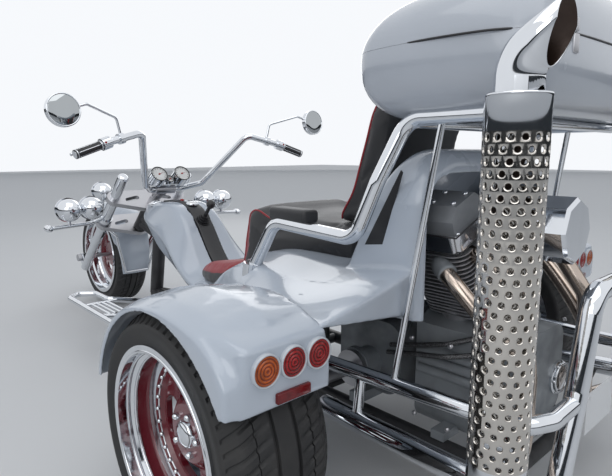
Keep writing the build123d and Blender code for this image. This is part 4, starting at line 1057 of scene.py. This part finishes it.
slope = Vector((-25, 0, 200)).normalized()
for name, x, r, finish, slot_name in (("red_light", 1470, 11, RED_LENS, "lamp_red"),
                                      ("white_light", 1432, 10, CLEAR, "plate")):
    dome = turned([(-1, r), (4, r), (7, r * 0.7), (8, 0.05)], on_console(x), slope, 24)
    piece(f"console_{name}", *dome, finish, "chassis", slot_name)
gauge_place = on_console(1375)
bowl = turned([(-1, 30), (7, 30), (9, 28), (9, 25), (6, 24)], gauge_place, slope, 40)
piece("console_gauge_rim", *bowl, CHROME, "chassis", "chrome")
piece("console_gauge_face", *turned([(6.5, 25), (6.5, 0.05)], gauge_place, slope, 40), DIAL,
      "chassis", "plate")
mark = [tuple(Vector(gauge_place) + slope * 7.2 + Vector(move))
        for move in ((-12, -2, 0), (-12, 2, 0), (14, 0, 0))]
# The gauge's hand takes the red lens finish and glows faintly: painted glow.
piece("console_gauge_hand", mark, [(0, 1, 2)], RED_LENS, "chassis", "lamp_red", smooth=False)
cap_rows = [(-2, 33), (8, 33), (11, 31), (12, 26), (12, 18), (15, 14), (16, 0.05)]
piece("fuel_cap", *turned(cap_rows, (1620, 78, 692), (0.1, 0.35, 1), 40), CHROME, "chassis", "chrome")


# Front lamps' lenses, grips' rings and switches
for side_name, side in SIDES:
    for index, (x, y, z, r) in enumerate(((1791, 458, 672, 58), (1795, 343, 675, 58), (2010, 195, 742, 50))):
        front = x + 33 if index < 2 else x + 29
        rows = [(0, r * 0.9), (4, r * 0.86), (9, r * 0.6), (12, r * 0.3), (13, 0.05)]
        piece(f"front_lens_{side_name}_{index + 1}",
              *turned(rows, (front, side * y, z), (1, 0, 0), 40), CLEAR, "steering", "plate")
        rim = ring_round((front, side * y, z), (1, 0, 0), r * 0.93, 3.4, 48)
        piece(f"front_lens_rim_{side_name}_{index + 1}", *rim, CHROME, "steering", "chrome")
    inner, outer = Vector((1254, side * 447, 1006)), Vector((1228, side * 610, 950))
    along = (outer - inner).normalized()
    rings = [ring_round(tuple(inner + along * reach), along, 17.6, 2.6, 32) for reach in (54, 166)]
    ribs = []
    normal = along.orthogonal().normalized()
    other = along.cross(normal)
    for index in range(6):
        angle = 2 * pi * index / 6
        outward = (normal * cos(angle) + other * sin(angle)) * 17.3
        ribs.append(swept([inner + along * (60 + step * 10) + outward for step in range(11)], 2.4, 8))
    piece(f"grip_rings_{side_name}", *joined(rings + ribs), CHROME, "steering", "chrome")
    switch = turned([(4, 22), (6, 25), (26, 25), (28, 22)], tuple(inner + along * 22), along, 32)
    piece(f"switch_box_{side_name}", *switch, BLACK_TRIM, "steering", "black_trim")
    button = bolt_at(tuple(inner + along * 37 + Vector((-24, 0, 6))), (-1, 0, 0.2), 5, 5)
    # The button takes the red lens finish and glows faintly: painted glow, as a button is no lamp.
    piece(f"switch_button_{side_name}", *button, RED_LENS, "steering", "lamp_red")


# Mirrors, and the exhaust elbows with their collars
MIRROR_GLASS = polished("mirror_glass", (0.42, 0.44, 0.45), 0.01, 0.02)
for side_name, side in SIDES:
    face = Vector((-1, 0, 0.08)).normalized()
    centre = Vector((1175, side * 657, 1121))
    glass = turned([(0.2, 60), (2.5, 57), (3.2, 30), (3.4, 0.05)], tuple(centre), face, 48)
    piece(f"mirror_glass_{side_name}", *glass, MIRROR_GLASS, "steering", "chrome")
    piece(f"mirror_rim_{side_name}", *ring_round(tuple(centre), face, 61.5, 3.0, 48), CHROME,
          "steering", "chrome")
    elbow = smooth_line([(-222, side * 205, 668), (-250, side * 236, 660), (-300, side * 246, 622),
                         (-380, side * 230, 540), (-440, side * 200, 470), (-455, side * 188, 420)], 40)
    piece(f"exhaust_elbow_{side_name}", *swept(elbow, 21, 28), WARM_CHROME, "chassis", "chrome")
    collar = smooth_line([(-214, side * 196, 670), (-236, side * 226, 666), (-262, side * 240, 653)], 14)
    piece(f"exhaust_collar_{side_name}", *swept(collar, 26, 28), CASTING, "chassis", "engine_grey")


# Black insert in each side of the tall shell
for side_name, side in SIDES:
    outline = [(-68, 716), (-128, 724), (-186, 908), (-180, 914)]
    points = [(x, side * 335.6, z) for x, z in outline] + [(x, side * 332, z) for x, z in outline]
    faces = [(0, 1, 2, 3), (4, 5, 6, 7)] + [(k, (k + 1) % 4, (k + 1) % 4 + 4, k + 4) for k in range(4)]
    insert = piece(f"shell_insert_{side_name}", points, faces, BLACK_TRIM, "chassis", "black_trim",
                   smooth=False)
    modify(insert, "BEVEL", width=0.001, segments=2)


# Camera, light and floor, in metres
CAMERA_PLACE = (-2.0302, 1.3802, 0.9546)
YAW, PITCH, ROLL = -0.744, -0.159, -0.002
FOCAL_PIXELS = 528.765
IMAGE_WIDTH = 612
SENSOR = 36.0


def camera():
    """The camera where the photograph was taken."""
    ahead = Vector((cos(YAW) * cos(PITCH), sin(YAW) * cos(PITCH), sin(PITCH)))
    right = Vector((sin(YAW), -cos(YAW), 0))
    up = right.cross(ahead)
    across = right * cos(ROLL) + up * sin(ROLL)
    above = up * cos(ROLL) - right * sin(ROLL)
    data = bpy.data.cameras.new("camera")
    data.sensor_width = SENSOR
    data.lens = FOCAL_PIXELS * SENSOR / IMAGE_WIDTH
    obj = bpy.data.objects.new("camera", data)
    turn = Matrix((across, above, -ahead)).transposed().to_4x4()
    obj.matrix_world = Matrix.Translation(CAMERA_PLACE) @ turn
    bpy.context.scene.collection.objects.link(obj)
    bpy.context.scene.camera = obj


def soft_lamp(name, place, target, size, power):
    """A wide soft lamp aimed at a point."""
    data = bpy.data.lights.new(name, "AREA")
    data.shape = "RECTANGLE"
    data.size, data.size_y = size
    data.energy = power
    obj = bpy.data.objects.new(name, data)
    obj.location = place
    obj.rotation_euler = (Vector(target) - Vector(place)).to_track_quat("-Z", "Y").to_euler()
    bpy.context.scene.collection.objects.link(obj)


def stage_mesh(name, points, faces, material):
    """A mesh object for the stage round the trike."""
    mesh = bpy.data.meshes.new(name)
    mesh.from_pydata(points, [], faces)
    mesh.materials.append(material)
    obj = bpy.data.objects.new(name, mesh)
    bpy.context.scene.collection.objects.link(obj)
    return obj


def plain_stage():
    """A pale floor, a soft sky and a low dark band that only bright metal mirrors."""
    finish = Finish("pale_floor", (0.72, 0.72, 0.72))
    finish.roughness(0.55 + finish.noise(4, 3.0) * 0.15)
    reach = 30
    corners = [(-reach, -reach, 0), (reach, -reach, 0), (reach, reach, 0), (-reach, reach, 0)]
    floor = stage_mesh("floor", corners, [(0, 1, 2, 3)], finish.material)
    band_finish = Finish("dark_band", (0.05, 0.055, 0.06), Roughness=0.9)
    points, faces = turned([(0, 28), (3.3, 28)], (0, 0, 0.02), (0, 0, 1), 64)
    band = stage_mesh("mirror_band", points, faces, band_finish.material)
    for ray in ("visible_camera", "visible_diffuse", "visible_shadow", "visible_transmission"):
        setattr(band, ray, False)
    world = bpy.data.worlds.new("studio")
    world.use_nodes = True
    tree = world.node_tree
    tree.nodes.clear()
    rays = tree.nodes.new("ShaderNodeLightPath").outputs
    seen = rays["Is Camera Ray"]
    for ray in ("Is Glossy Ray", "Is Transmission Ray"):
        either = tree.nodes.new("ShaderNodeMath")
        either.operation = "MAXIMUM"
        tree.links.new(seen, either.inputs[0])
        tree.links.new(rays[ray], either.inputs[1])
        seen = either.outputs[0]
    mixed = tree.nodes.new("ShaderNodeMixShader")
    tree.links.new(seen, mixed.inputs[0])
    for socket, colour, strength in ((1, (0.86, 0.92, 1.0, 1), 0.5), (2, (0.93, 0.95, 0.98, 1), 1.0)):
        sky = tree.nodes.new("ShaderNodeBackground")
        sky.inputs["Color"].default_value = colour
        sky.inputs["Strength"].default_value = strength
        tree.links.new(sky.outputs[0], mixed.inputs[socket])
    output = tree.nodes.new("ShaderNodeOutputWorld")
    tree.links.new(mixed.outputs[0], output.inputs[0])
    bpy.context.scene.world = world
    bpy.context.scene.view_settings.view_transform = "Standard"
    soft_lamp("sky_lamp", (-2.0, 1.0, 5.0), (0, 0, 0.4), (5, 5), 80)
    soft_lamp("side_lamp", (-3.0, 4.2, 2.6), (-0.6, 0.3, 0.5), (3, 2), 30)
    soft_lamp("far_lamp", (3.5, -3.5, 3.0), (0, 0, 0.6), (3, 3), 30)


camera()
plain_stage()
